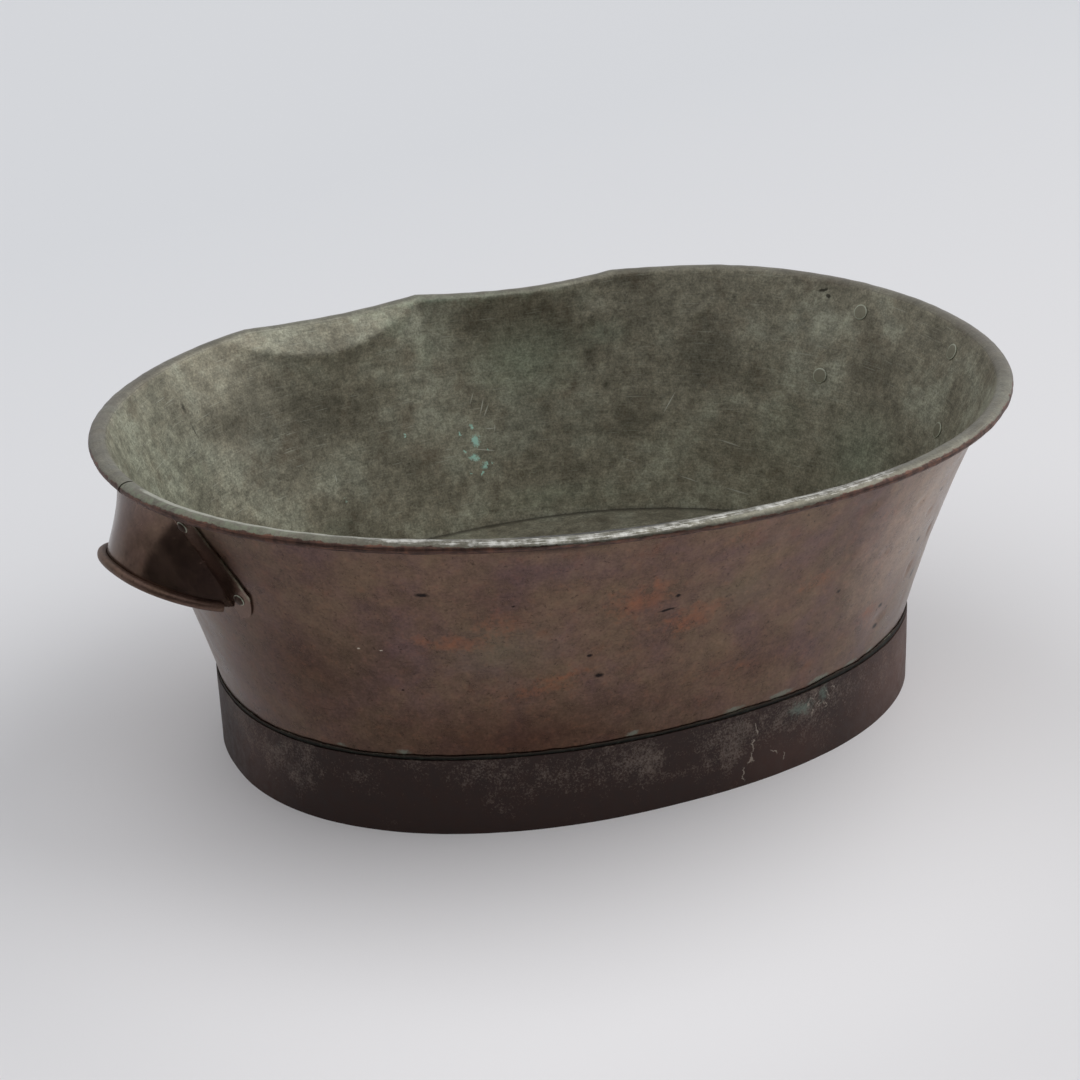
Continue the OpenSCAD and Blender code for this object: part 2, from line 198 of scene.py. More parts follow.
class Shape:
    """The tub's surfaces as functions of the turn round it, in degrees. All points are in millimetres."""

    def __init__(self, sizes):
        self.sheet = sizes.sheet / MM
        self.roll_a = sizes.roll_width / MM / 2
        self.roll_b = sizes.roll_height / MM / 2
        self.rim_a = sizes.rim_length / MM / 2 - self.roll_a
        self.rim_b = sizes.rim_width / MM / 2 - self.roll_a
        self.rim_z = sizes.height / MM - self.roll_b
        self.foot_a = sizes.foot_length / MM / 2
        self.foot_b = sizes.foot_width / MM / 2
        self.foot_z = sizes.foot_height / MM
        self.ripple = sizes.ripple / MM
        self.lumps = sizes.lumps / MM
        self.skirt_inset = BAND_THICKNESS + FIT_GAP + self.sheet / 2
        self.floor_inset = self.skirt_inset + self.sheet / 2 + FIT_GAP
        self.flange_off = self.sheet + FIT_GAP
        self.wall_height = self.rim_z - self.foot_z
        self.arc_turns = np.linspace(0, 2 * FULL_TURN, MEASURED_STEPS)
        reach = (self.roll_centre(self.arc_turns) + self.roll_a * self.outward(self.arc_turns))[:, 1]
        self.shift = -(reach.max() + reach.min()) / 2
        steps = np.diff(self.wall_middle(self.arc_turns, MEASURED_SHARE), axis=0)
        self.arc = np.concatenate([[0], np.cumsum(np.linalg.norm(steps, axis=1))])

    def place(self, points):
        """Points in metres in the shared frame."""
        return (points + [0, self.shift, 0]) * MM

    def unrolled(self, turn, share):
        """A place on the wall laid out flat, in metres: along it, and up it."""
        return np.interp(turn, self.arc_turns, self.arc) * MM, share * self.wall_height * MM

    def outward(self, turn):
        power = 2 - 2 / RIM_SQUARENESS
        return unit(np.stack([signed_power(cos(turn), power) / self.rim_a,
                              signed_power(sin(turn), power) / self.rim_b, np.zeros_like(turn)], -1))

    def along(self, turn, out, up):
        """The step from a place on the wall that goes so far out and so far up."""
        out, up = np.broadcast_to(out, np.shape(turn)), np.broadcast_to(up, np.shape(turn))
        return self.outward(turn) * out[..., None] + up[..., None] * np.array([0, 0, 1.0])

    def dents(self, turn):
        """How far the dents push the rim in, and down."""
        turn = np.mod(turn, FULL_TURN)
        at, span, inwards, down = WIDE_DENT
        soft = bite(turn, at, span) ** 2
        inwards, down = inwards * soft, down * soft
        for at, span, bite_in, bite_down in (LEFT_BITE, RIGHT_BITE):
            inwards = inwards + bite_in * bite(turn, at, span)
            down = down + bite_down * bite(turn, at, span)
        return inwards, down

    def true_rim(self, turn):
        rim = oval(turn, self.rim_a, self.rim_b, RIM_SQUARENESS)
        rim[..., 2] = self.rim_z + RIM_WAVE * sin(2 * turn) + RIM_BACK_RISE * rim[..., 1] / self.rim_b
        return rim

    def roll_centre(self, turn):
        inwards, down = self.dents(turn)
        return self.true_rim(turn) - self.along(turn, inwards, down)

    def on_roll(self, turn, angle, half_width, half_height):
        return self.roll_centre(turn) + self.along(turn, half_width * cos(angle), half_height * sin(angle))

    def crease(self, turn, share):
        at, span, inwards, drop, end = CREASE
        strength = bite(np.mod(turn, FULL_TURN), at, span)
        line = 1 - strength * drop / self.wall_height
        above = (1 - share) / np.maximum(0.02, 1 - line)
        below = np.maximum(0, (share - end) / (line - end)) ** 2
        return inwards * strength * np.minimum(np.minimum(above, below), 1)

    def wall_foot(self, turn):
        foot = oval(turn, self.foot_a - self.skirt_inset, self.foot_b - self.skirt_inset, FOOT_SQUARENESS)
        foot[..., 2] = self.foot_z
        return foot

    def wall_middle(self, turn, share):
        share = np.broadcast_to(np.asarray(share, float), np.shape(turn))
        foot = self.wall_foot(turn)
        top = self.true_rim(turn) + self.along(turn, (self.roll_a - self.sheet / 2) * cos(ROLL_START),
                                               (self.roll_b - self.sheet / 2) * sin(ROLL_START))
        inwards, down = self.dents(turn)
        fade = share ** DENT_FADE
        push = WALL_HOLLOW * 4 * share * (1 - share) + inwards * fade + self.crease(turn, share)
        return foot + (top - foot) * share[..., None] - self.along(turn, push, down * fade)

    def wall_normal(self, turn, share):
        rise = (self.wall_middle(turn, np.minimum(1, share + NEAR))
                - self.wall_middle(turn, np.maximum(0, share - NEAR)))
        return unit(self.along(turn, rise[..., 2], -(rise * self.outward(turn)).sum(-1)))

    def wall_at(self, turn, share, off):
        """A point that stands off the middle of the rippled sheet."""
        middle = self.wall_middle(turn, share)
        fade = between(share, 0, 1, 0.08)
        ripple = self.ripple * (uneven(middle, 42) + 0.35 * uneven(middle, 15, 7.0))
        ripple = fade * (ripple + self.small_dents(turn, share))
        return middle + (off + ripple)[..., None] * self.wall_normal(turn, share)

    def small_dents(self, turn, share):
        along, up = self.unrolled(turn, share)
        push = np.zeros_like(turn)
        for at, height, half_length, half_height, tilt, depth in SMALL_DENTS:
            middle_along, middle_up = self.unrolled(at, height)
            right, rise = (along - middle_along) / MM, (up - middle_up) / MM
            reach = (((right * cos(tilt) + rise * sin(tilt)) / half_length) ** 2
                     + ((rise * cos(tilt) - right * sin(tilt)) / half_height) ** 2)
            push = push + depth * np.maximum(0, 1 - reach) ** 2
        return push

    def share_of_height(self, drop):
        return 1 - drop / self.wall_height

    def beside(self, end, side, share):
        """The turn that lies so many millimetres beside the middle of the handle at one end."""
        half_width = self.foot_b + (self.rim_b - self.foot_b) * share
        return end + HANDLE_TURN + np.degrees(side / half_width)

    def handle_middle(self, end, q, v):
        """A point of a handle's sheet. Across it q runs from -2 to 2, with the folds at -1 and 1, and v runs
        from 0 at the top to 1 at the lower edge."""
        flange = np.maximum(0, np.abs(q) - 1)
        low = np.where(flange > 0, HANDLE_SIDE_DROP + FLANGE_TAB - TAB_RISE * flange ** 3,
                       HANDLE_SIDE_DROP - HANDLE_ARCH * (1 - q * q))
        share = self.share_of_height(HANDLE_DROP + (low - HANDLE_DROP) * v)
        fold = (HANDLE_TOP_WIDTH + (HANDLE_BOTTOM_WIDTH - HANDLE_TOP_WIDTH) * v) / 2
        side = np.sign(q) * (fold * np.minimum(1, np.abs(q)) + FLANGE_WIDTH * flange)
        bow = np.maximum(0, 1 - np.abs(q) ** 2.5) ** 0.8
        turn = self.beside(end, side, share)
        off = (HANDLE_TOP_STAND + (HANDLE_STAND - HANDLE_TOP_STAND) * v) * bow
        return self.wall_at(turn, share, self.flange_off) + self.along(turn, off, 0)

    def handle_normal(self, end, q, v):
        across = self.handle_middle(end, q + NEAR, v) - self.handle_middle(end, q - NEAR, v)
        down = (self.handle_middle(end, q, np.minimum(1, v + NEAR))
                - self.handle_middle(end, q, np.maximum(0, v - NEAR)))
        return unit(np.cross(down, across))

    def bead(self, end, q, angle, radius):
        """A point round the wire in the handle's lower edge."""
        lower = np.ones_like(q)
        out = self.handle_normal(end, q, lower)
        edge = self.handle_middle(end, q, lower) + out * (BEAD_R - self.sheet / 2)
        ahead = self.handle_middle(end, q + NEAR, lower) - self.handle_middle(end, q - NEAR, lower)
        down = unit(np.cross(ahead, out))
        return edge + radius * (out * cos(angle)[..., None] + down * sin(angle)[..., None])


def link(tree, source, socket):
    """Links an output, or the first output in use of a node, to a socket."""
    if isinstance(source, bpy.types.Node):
        source = next(output for output in source.outputs if output.enabled)
    tree.links.new(source, socket)


def as_value(value):
    """A setting as it is, or the linear colour if it is a hex code."""
    return linear(value) if isinstance(value, str) and value.startswith("#") else value


def add(tree, kind, settings=(), links=()):
    """Adds one node with its settings, a ramp's stops among them, and its links."""
    made = tree.nodes.new("ShaderNode" + kind)
    for name, value in dict(settings).items():
        if name == "stops":
            ramp = made.color_ramp.elements
            while len(ramp) < len(value):
                ramp.new(0.5)
            for element, (position, colour) in zip(ramp, value):
                element.position = position
                element.color = as_value(colour)
        elif isinstance(name, str) and hasattr(made, name):
            setattr(made, name, value)
        else:
            made.inputs[name].default_value = as_value(value)
    for name, source in dict(links).items():
        link(tree, source, made.inputs[name])
    return made


def new_material(name):
    """A fresh node material and its shader."""
    material = bpy.data.materials.new(name)
    material.use_nodes = True
    tree = material.node_tree
    tree.nodes.clear()
    shader = add(tree, "BsdfPrincipled")
    add(tree, "OutputMaterial", {}, {"Surface": shader})
    return material, tree, shader


def surface(tree, shader, colour, roughness, metallic, *bumps):
    """Gives a shader its colour, roughness and metal, and its bumps, each with a height, a strength and a
    depth in millimetres."""
    link(tree, colour, shader.inputs["Base Color"])
    if isinstance(roughness, float):
        shader.inputs["Roughness"].default_value = roughness
    else:
        link(tree, roughness, shader.inputs["Roughness"])
    shader.inputs["Metallic"].default_value = metallic
    below = {}
    for height, strength, depth in bumps:
        bump = add(tree, "Bump", {"Strength": strength, "Distance": depth * MM}, {"Height": height, **below})
        below = {"Normal": bump}
    for socket, bump in below.items():
        link(tree, bump, shader.inputs[socket])


def per_mm(size):
    """The noise scale whose grains are about so many millimetres across."""
    return 1 / (size * MM)


def darker(colour, level):
    return tuple(part * level for part in colour[:3]) + (1.0,)


def ragged_place(tree, size, depth):
    """The unrolled wall's coordinates, shaken by noise so that marks get ragged outlines."""
    flat = add(tree, "TexCoord")
    shake = add(tree, "TexNoise", {"Scale": per_mm(size), "Detail": 4.0, "Roughness": 0.65},
                {"Vector": flat.outputs["Object"]})
    offset = add(tree, "VectorMath", {"operation": "SUBTRACT", 1: (0.5, 0.5, 0.5)},
                 {0: shake.outputs["Color"]})
    scaled = add(tree, "VectorMath", {"operation": "SCALE", "Scale": depth * MM}, {0: offset})
    return add(tree, "VectorMath", {"operation": "ADD"}, {0: flat.outputs["UV"], 1: scaled})


def marks_mask(tree, place, marks, shape):
    """A mask that has each listed mark's strength in its middle, and is 0 outside them all."""
    levels = []
    for turn, share, half_length, half_height, tilt, strength in marks:
        along, up = shape.unrolled(turn, share)
        near = add(tree, "Mapping", {"vector_type": "TEXTURE", "Location": (along, up, 0),
                                     "Rotation": (0, 0, math.radians(tilt)),
                                     "Scale": (half_length * MM, half_height * MM, 1)}, {"Vector": place})
        spot = add(tree, "TexGradient", {"gradient_type": "SPHERICAL"}, {"Vector": near})
        levels.append(add(tree, "Math", {"operation": "MULTIPLY", 1: strength}, {0: spot.outputs["Fac"]}))
    total = levels[0]
    for level in levels[1:]:
        total = add(tree, "Math", {"operation": "MAXIMUM"}, {0: total, 1: level})
    return total


def lay_stains_and_painted_light(tree, colour, shape, stains):
    """Lays listed marks over a colour: stains, and also painted light and shade. Each has its marks, the
    coordinates they lie in, a noise that breaks them up or None, where the mask begins and is full, its
    strength when full, and its colour."""
    for marks, place, breaking, low, high, strength, tone in stains:
        mask = marks_mask(tree, place, marks, shape)
        if breaking is not None:
            mask = add(tree, "Math", {"operation": "MULTIPLY"}, {0: mask, 1: breaking})
        level = add(tree, "MapRange", {"From Min": low, "From Max": high, "To Max": strength},
                    {"Value": mask})
        colour = add(tree, "Mix", {"data_type": "RGBA", 7: tone}, {0: level, 6: colour})
    return colour


def grained(tree, colour, textures):
    """Lays each noise over a colour with its contrast drawn out, so that its grains show."""
    for texture, low, high, strength in textures:
        drawn = add(tree, "MapRange", {"From Min": low, "From Max": high}, {"Value": texture})
        colour = add(tree, "Mix", {"data_type": "RGBA", "blend_type": "OVERLAY", 0: strength},
                     {6: colour, 7: drawn})
    return colour


def scratched(tree, level, place, low, strength, strokes):
    """Adds straight scratches to a mask, each kind with its turn, and its length and width in mm. They are
    drawn about a millimetre wide, because finer ones would not show."""
    for turn, length, width in strokes:
        laid = add(tree, "Mapping", {"Rotation": (0, 0, math.radians(turn)),
                                     "Scale": (per_mm(length), per_mm(width), 1)}, {"Vector": place})
        lines = add(tree, "TexNoise", {"Scale": 1.0, "Detail": 2.0}, {"Vector": laid})
        drawn = add(tree, "MapRange", {"From Min": low, "From Max": low + 0.1, "To Max": strength},
                    {"Value": lines})
        level = add(tree, "Math", {"operation": "MAXIMUM"}, {0: level, 1: drawn})
    return level


# Marks on the wall: turn, share of the height, half length, half height, tilt, strength.
# Millimetres and degrees.
ORANGE_RUBS = (
    (236.5, 0.54, 44, 12, 0, 0.7), (249.0, 0.30, 50, 9, 8, 0.6), (260.5, 0.66, 34, 24, 0, 0.75),
    (267.5, 0.54, 40, 16, 10, 0.8), (263.0, 0.72, 14, 10, 0, 0.8), (285.5, 0.56, 30, 14, 0, 0.6),
    (300.5, 0.26, 24, 12, 0, 0.65), (252.0, 0.36, 36, 6, 12, 0.75), (243.0, 0.62, 34, 20, 0, 0.5),
    (276.0, 0.24, 26, 10, 0, 0.4), (272.0, 0.88, 30, 10, 0, 0.35), (296.0, 0.78, 26, 14, 0, 0.4),
)
# Dark specks; the long strip at 251 just under the front of the roll is painted shade
DARK_SPOTS_AND_RIM_SHADE = (
    (264.5, 0.60, 9, 1.6, 8, 1.0), (265.5, 0.66, 3, 2, 0, 1.0), (255.0, 0.44, 3, 2.2, 0, 1.0),
    (256.5, 0.34, 5, 3, 0, 1.0), (233.5, 0.76, 7, 3, 0, 0.9), (316.0, 0.30, 8, 5, 30, 0.9),
    (305.0, 0.16, 6, 3.5, 0, 0.9), (304.5, 0.26, 5, 3, 0, 0.8), (311.0, 0.50, 5, 4, 0, 0.8),
    (311.5, 0.72, 4, 4, 0, 0.7), (290.5, 0.46, 4, 3, 0, 0.7), (251.0, 0.95, 60, 7, 0, 0.5),
    (321.0, 0.44, 6, 2.5, 40, 0.9), (326.5, 0.71, 7, 2.5, 25, 0.7), (325.0, 0.26, 7, 3, 35, 0.8),
    (245.0, 0.70, 2, 1.5, 0, 0.8), (228.0, 0.32, 2, 1.6, 0, 0.7),
)
PURPLE_BLOOMS = (
    (250.5, 0.86, 60, 18, 0, 0.8), (245.5, 0.08, 30, 12, 0, 0.7), (257.0, 0.20, 40, 26, 0, 0.4),
    (228.0, 0.50, 30, 40, 0, 0.5), (275.0, 0.84, 40, 16, 0, 0.5),
)
OLIVE_BLOOMS = (
    (243.0, 0.50, 56, 34, 0, 0.9), (263.0, 0.10, 40, 14, 0, 0.5), (273.0, 0.62, 46, 24, 0, 0.6),
    (218.0, 0.40, 40, 50, 0, 0.4),
)
# Darker brown oxide; the wide low marks across the front are painted shade, darkening the wall towards the
# foot where it faces the shaded floor
BROWN_BLOOMS_AND_FOOT_SHADE = (
    (212.0, 0.38, 90, 70, 0, 1.0), (200.0, 0.36, 40, 70, 0, 0.6), (278.0, 0.24, 60, 36, 0, 0.6),
    (246.0, 0.06, 190, 56, 0, 1.2), (272.0, 0.10, 90, 24, 0, 0.4), (206.0, 0.80, 60, 30, 0, 0.5),
    (225.0, 0.10, 90, 34, 0, 0.6),
)
# Paler patina at the right end, and also a painted sheen where the wall turns away and reflects the pale
# studio
HAZE_AND_SHEEN = ((306.0, 0.62, 80, 110, 0, 0.9), (330.0, 0.60, 90, 110, 0, 1.0))
PALE_NICKS = ((222.5, 0.50, 1.4, 0.9, 0, 1.0), (226.0, 0.50, 2.4, 0.7, 0, 0.8))
JOINT_SCURF = (
    (262.0, 0.034, 9, 4.0, 10, 1.0), (276.0, 0.030, 16, 4.0, 4, 1.0), (284.0, 0.032, 22, 5.0, 4, 1.0),
    (292.0, 0.034, 22, 5.0, 4, 1.0), (300.0, 0.034, 16, 4.0, 4, 0.9), (226.0, 0.030, 12, 4.0, 0, 0.9),
    (214.0, 0.030, 10, 4.0, 0, 0.8), (306.0, 0.040, 12, 4.0, 4, 0.8),
)
VERDIGRIS_SPOTS = (
    (86.6, 0.38, 8, 11, 0, 1.0), (87.2, 0.31, 13, 9, 0, 0.8), (85.8, 0.27, 10, 9, 0, 0.75),
    (109.5, 0.26, 9, 9, 0, 0.62), (97.0, 0.46, 3, 3, 0, 0.9), (88.8, 0.42, 3, 3, 0, 0.9),
    (88.4, 0.34, 4, 3, 0, 0.85), (85.0, 0.33, 4, 3, 0, 0.85), (86.2, 0.24, 5, 3, 0, 0.85),
    (84.4, 0.28, 3, 3, 0, 0.8), (88.0, 0.25, 4, 4, 0, 0.75), (87.0, 0.44, 3, 5, 0, 0.8),
)
SCRATCHES = (
    (85.0, 0.52, 0.6, 9, 20, 0.9), (84.4, 0.50, 0.6, 8, 28, 0.9), (84.2, 0.42, 5, 0.6, 8, 0.9),
    (83.4, 0.42, 0.6, 4, 10, 0.8), (85.4, 0.335, 13, 0.5, 12, 1.0), (86.4, 0.56, 0.5, 8, 26, 0.7),
    (52.5, 0.46, 0.7, 14, 30, 0.7), (40.0, 0.30, 18, 0.8, 12, 0.5), (37.0, 0.10, 22, 1.0, 8, 0.5),
    (48.0, 0.14, 16, 0.8, 14, 0.5), (110.5, 0.36, 0.5, 6, 4, 0.6), (60.0, 0.22, 14, 0.6, 20, 0.4),
)
# Paler tin oxide; the wide mark at the left end is also painted light, where the inside faces the key light
PALE_BLOOMS_AND_LIGHT = (
    (162.0, 0.62, 140, 160, 0, 0.5), (151.0, 0.88, 30, 16, 0, 0.4), (77.5, 0.70, 62, 40, 0, 1.0),
    (7.5, 0.36, 60, 50, 0, 0.7), (367.5, 0.36, 60, 50, 0, 0.7), (64.5, 0.76, 34, 14, 0, 0.6),
    (140.0, 0.60, 26, 12, 20, 0.5), (160.0, 0.60, 40, 50, 0, 0.4), (92.0, 0.78, 14, 26, 0, 0.5),
    (118.0, 0.14, 60, 14, 0, 0.4), (75.0, 0.10, 90, 14, 0, 0.5), (88.0, 1.01, 110, 8, 0, 1.0),
    (96.0, 0.94, 20, 12, 0, 0.7), (30.0, 0.40, 40, 40, 0, 0.3),
)
# Darker tin oxide; the marks just under the bitten rim at 84 and 110 and along the crease at 109 are painted
# shade
DARK_BLOOMS_AND_SHADE = (
    (102.0, 0.45, 50, 60, 0, 0.5), (108.0, 0.30, 30, 50, 0, 0.5), (122.0, 0.62, 60, 60, 0, 1.0),
    (114.0, 0.60, 60, 60, 0, 0.7), (138.0, 0.72, 70, 60, 0, 0.6), (138.0, 0.78, 30, 30, 0, 0.6),
    (110.0, 0.97, 40, 10, 0, 0.4), (109.0, 0.90, 70, 20, 0, 0.55), (84.0, 0.90, 30, 10, 0, 0.4),
    (78.0, 0.40, 44, 34, 0, 0.55), (66.0, 0.36, 40, 30, 0, 0.3), (46.0, 0.66, 34, 26, 0, 0.4),
)
INK_MARKS = (
    (136.5, 0.85, 3.4, 9, 6, 0.55), (136.3, 0.75, 1.5, 12, -8, 0.5), (26.0, 0.965, 6, 1.8, -20, 1.0),
    (24.8, 0.945, 3, 2.4, 20, 1.0), (64.0, 0.55, 7, 6, 0, 0.4), (97.0, 0.34, 1.5, 1.5, 0, 0.7),
)
# On the roll the share runs from 1 on to 1.2
ROLL_BLOOMS = (
    (156.0, 1.09, 150, 22, 0, 1.0), (24.0, 1.09, 100, 22, 0, 0.8), (350.0, 1.09, 100, 22, 0, 1.0),
)
# On the band the share is negative: below its top edge
BAND_DUST = (
    (198.0, -0.10, 60, 36, 0, 0.9), (258.0, -0.10, 80, 34, 0, 0.8), (276.0, -0.10, 60, 34, 0, 0.7),
    (292.0, -0.12, 60, 40, 0, 0.9), (318.0, -0.14, 70, 40, 0, 0.7), (20.0, -0.14, 90, 40, 0, 0.8),
    (75.0, -0.14, 120, 40, 0, 0.7), (140.0, -0.14, 120, 40, 0, 0.8),
)
BAND_STAINS = (
    (288.0, -0.06, 24, 10, 0, 1.0), (293.0, -0.04, 10, 12, 0, 0.9), (199.0, -0.05, 16, 8, 0, 0.4),
)
BAND_RUST = (
    (322.0, -0.16, 130, 70, 0, 1.0), (286.0, -0.24, 80, 30, 0, 0.4), (190.0, -0.16, 60, 60, 0, 0.4),
)
BRAZE_LINES = (
    (279.7, -0.08, 1.3, 8, 14, 1.0), (279.0, -0.14, 1.2, 7, -22, 1.0), (278.6, -0.19, 1.2, 6, 12, 1.0),
    (277.2, -0.25, 1.2, 7, 6, 0.9), (278.4, -0.205, 5, 1.1, 8, 0.9), (282.6, -0.20, 6, 1.1, -14, 1.0),
    (284.6, -0.225, 1.2, 5, 24, 0.9), (291.0, -0.03, 6, 0.9, 20, 0.9), (294.0, -0.05, 0.9, 6, 20, 0.9),
    (292.0, -0.08, 4, 0.9, 0, 0.9), (289.5, -0.05, 0.9, 6, -25, 0.9), (291.6, -0.065, 5, 0.9, 35, 0.9),
    (293.4, -0.09, 0.9, 5, -12, 0.9), (290.4, -0.10, 0.9, 5, 10, 0.8), (295.4, -0.03, 4, 0.9, -20, 0.8),
)


def patinated_copper(name, shape, colours, on_wall, darkness=1.0, gloss=1.0):
    """Sheet copper, hammered and long handled: a thin brown oxide with a dull gloss, reddish where it is
    rubbed and purple or olive where the oxide is thicker, with fine dark specks and scratches."""
    material, tree, shader = new_material(name)
    coordinates = add(tree, "TexCoord")
    place = {"Vector": coordinates.outputs["Object"]}
    cloud = add(tree, "TexNoise", {"Scale": per_mm(80), "Detail": 4.0, "Roughness": 0.55}, place)
    mottle = add(tree, "TexNoise", {"Scale": per_mm(14), "Detail": 6.0, "Roughness": 0.7}, place)
    grain = add(tree, "TexNoise", {"Scale": per_mm(2.2), "Detail": 3.0, "Roughness": 0.6}, place)
    crumbs = add(tree, "TexNoise", {"Scale": per_mm(4), "Detail": 4.0, "Roughness": 0.75}, place)
    warm = add(tree, "MapRange", {"From Min": 0.35, "From Max": 0.62}, {"Value": cloud})
    thick_oxide = darker(linear("#654f47"), darkness)
    colour = add(tree, "Mix", {"data_type": "RGBA", 6: thick_oxide, 7: darker(colours.patina, darkness)},
                 {0: warm})
    drift = add(tree, "TexNoise", {"noise_dimensions": "4D", "W": 8.0, "Scale": per_mm(38), "Detail": 6.0,
                                   "Roughness": 0.65}, place)
    tints = add(tree, "ValToRGB", {"stops": ((0.38, "#695454"), (0.5, "#705b4d"), (0.62, "#786750"))},
                {"Fac": drift})
    colour = add(tree, "Mix", {"data_type": "RGBA", 0: 0.4 if on_wall else 0.2}, {6: colour, 7: tints})
    if on_wall:
        ragged = ragged_place(tree, 14, 26)
        fine = ragged_place(tree, 3, 2.5)
        colour = lay_stains_and_painted_light(tree, colour, shape, (
            (PURPLE_BLOOMS, ragged, None, 0, 1, 0.65, "#5f4c52"),
            (OLIVE_BLOOMS, ragged, None, 0, 1, 0.7, "#786e5c"),
            # The low brown marks are painted shade towards the foot
            (BROWN_BLOOMS_AND_FOOT_SHADE, ragged, None, 0, 1.2, 0.9, "#52392d"),
            # The haze is partly a painted sheen at the right end
            (HAZE_AND_SHEEN, ragged, None, 0, 1, 0.8, "#b39e8d")))
    colour = grained(tree, colour, ((mottle, 0.36, 0.64, 0.18), (grain, 0.34, 0.66, 0.13)))
    rub = add(tree, "TexNoise", {"noise_dimensions": "4D", "W": 3.0, "Scale": per_mm(30), "Detail": 7.0,
                                 "Roughness": 0.7}, place)
    rub = add(tree, "MapRange", {"From Min": 0.58, "From Max": 0.78, "To Max": 0.3}, {"Value": rub})
    specks = add(tree, "MapRange", {"From Min": 0.59, "From Max": 0.68, "To Max": 0.5}, {"Value": crumbs})
    if on_wall:
        flecks = add(tree, "TexNoise", {"Scale": per_mm(7), "Detail": 7.0, "Roughness": 0.8}, place)
        broken = add(tree, "MapRange", {"From Min": 0.36, "From Max": 0.66}, {"Value": flecks})
        rubs = marks_mask(tree, ragged, ORANGE_RUBS, shape)
        orange = add(tree, "Math", {"operation": "ADD"}, {0: rubs, 1: broken})
        orange = add(tree, "MapRange", {"From Min": 0.62, "From Max": 1.5, "To Max": 0.58}, {"Value": orange})
        kept = add(tree, "MapRange", {"From Min": 0.02, "From Max": 0.3}, {"Value": rubs})
        orange = add(tree, "Math", {"operation": "MULTIPLY"}, {0: orange, 1: kept})
        smudged = add(tree, "MapRange", {"From Min": 0.54, "From Max": 0.7, "To Max": 0.22},
                      {"Value": flecks})
        for red in (orange, smudged):
            rub = add(tree, "Math", {"operation": "MAXIMUM"}, {0: rub, 1: red})
        strokes = ((35, 20, 1.0), (-18, 26, 0.9))
        specks = scratched(tree, specks, coordinates.outputs["UV"], 0.68, 0.5, strokes)
        # The dark specks, and a painted shade just under the front of the roll
        dark = add(tree, "MapRange", {"From Min": 0.15, "From Max": 0.6},
                   {"Value": marks_mask(tree, fine, DARK_SPOTS_AND_RIM_SHADE, shape)})
        specks = add(tree, "Math", {"operation": "MAXIMUM"}, {0: specks, 1: dark})
    bare = darker(colours.bare_copper, 0.5 + 0.5 * darkness)
    colour = add(tree, "Mix", {"data_type": "RGBA", 7: bare}, {0: rub, 6: colour})
    colour = add(tree, "Mix", {"data_type": "RGBA", 7: "#241d1c"}, {0: specks, 6: colour})
    rough = add(tree, "MapRange", {"From Min": 0.3, "From Max": 0.7, "To Min": 0.24 * gloss,
                                   "To Max": 0.38 * gloss}, {"Value": mottle})
    if on_wall:
        colour = lay_stains_and_painted_light(tree, colour, shape, (
            (PALE_NICKS, fine, None, 0.3, 0.6, 1.0, "#c9bfae"),
            (JOINT_SCURF, fine, crumbs, 0.16, 0.34, 0.75, "#7d8377")))
    else:
        flange_marks = add(tree, "Attribute", {"attribute_name": "flange_marks"})
        edge, fold, flange = add(tree, "SeparateColor", {}, {0: flange_marks}).outputs
        # Painted light: the flange is painted paler, against the dark reflection of the apron beside it
        level = add(tree, "Math", {"operation": "MULTIPLY", 1: 0.3}, {0: flange})
        colour = add(tree, "Mix", {"data_type": "RGBA", 7: "#86695a"}, {0: level, 6: colour})
        # The pale edge line is a painted highlight on the flange's cut edge; the fold gets a dotted pale line
        for part, low, tone in ((edge, 0.42, "#8c8673"), (fold, 0.56, "#9aa08c")):
            broken = add(tree, "Math", {"operation": "MULTIPLY"}, {0: part, 1: crumbs})
            level = add(tree, "MapRange", {"From Min": low, "From Max": low + 0.08}, {"Value": broken})
            colour = add(tree, "Mix", {"data_type": "RGBA", 7: tone}, {0: level, 6: colour})
        # The wired bead is duller than the sheet, from hands
        bead = add(tree, "Attribute", {"attribute_name": "bead_level"}).outputs["Fac"]
        rough = add(tree, "Math", {"operation": "MULTIPLY_ADD", 1: 0.26}, {0: bead, 2: rough})
    soft = add(tree, "TexNoise", {"Scale": per_mm(9), "Detail": 4.0, "Roughness": 0.5}, place)
    surface(tree, shader, colour, rough, 0.9, (soft, 0.25, 0.25), (grain, 0.12, 0.08))
    return material


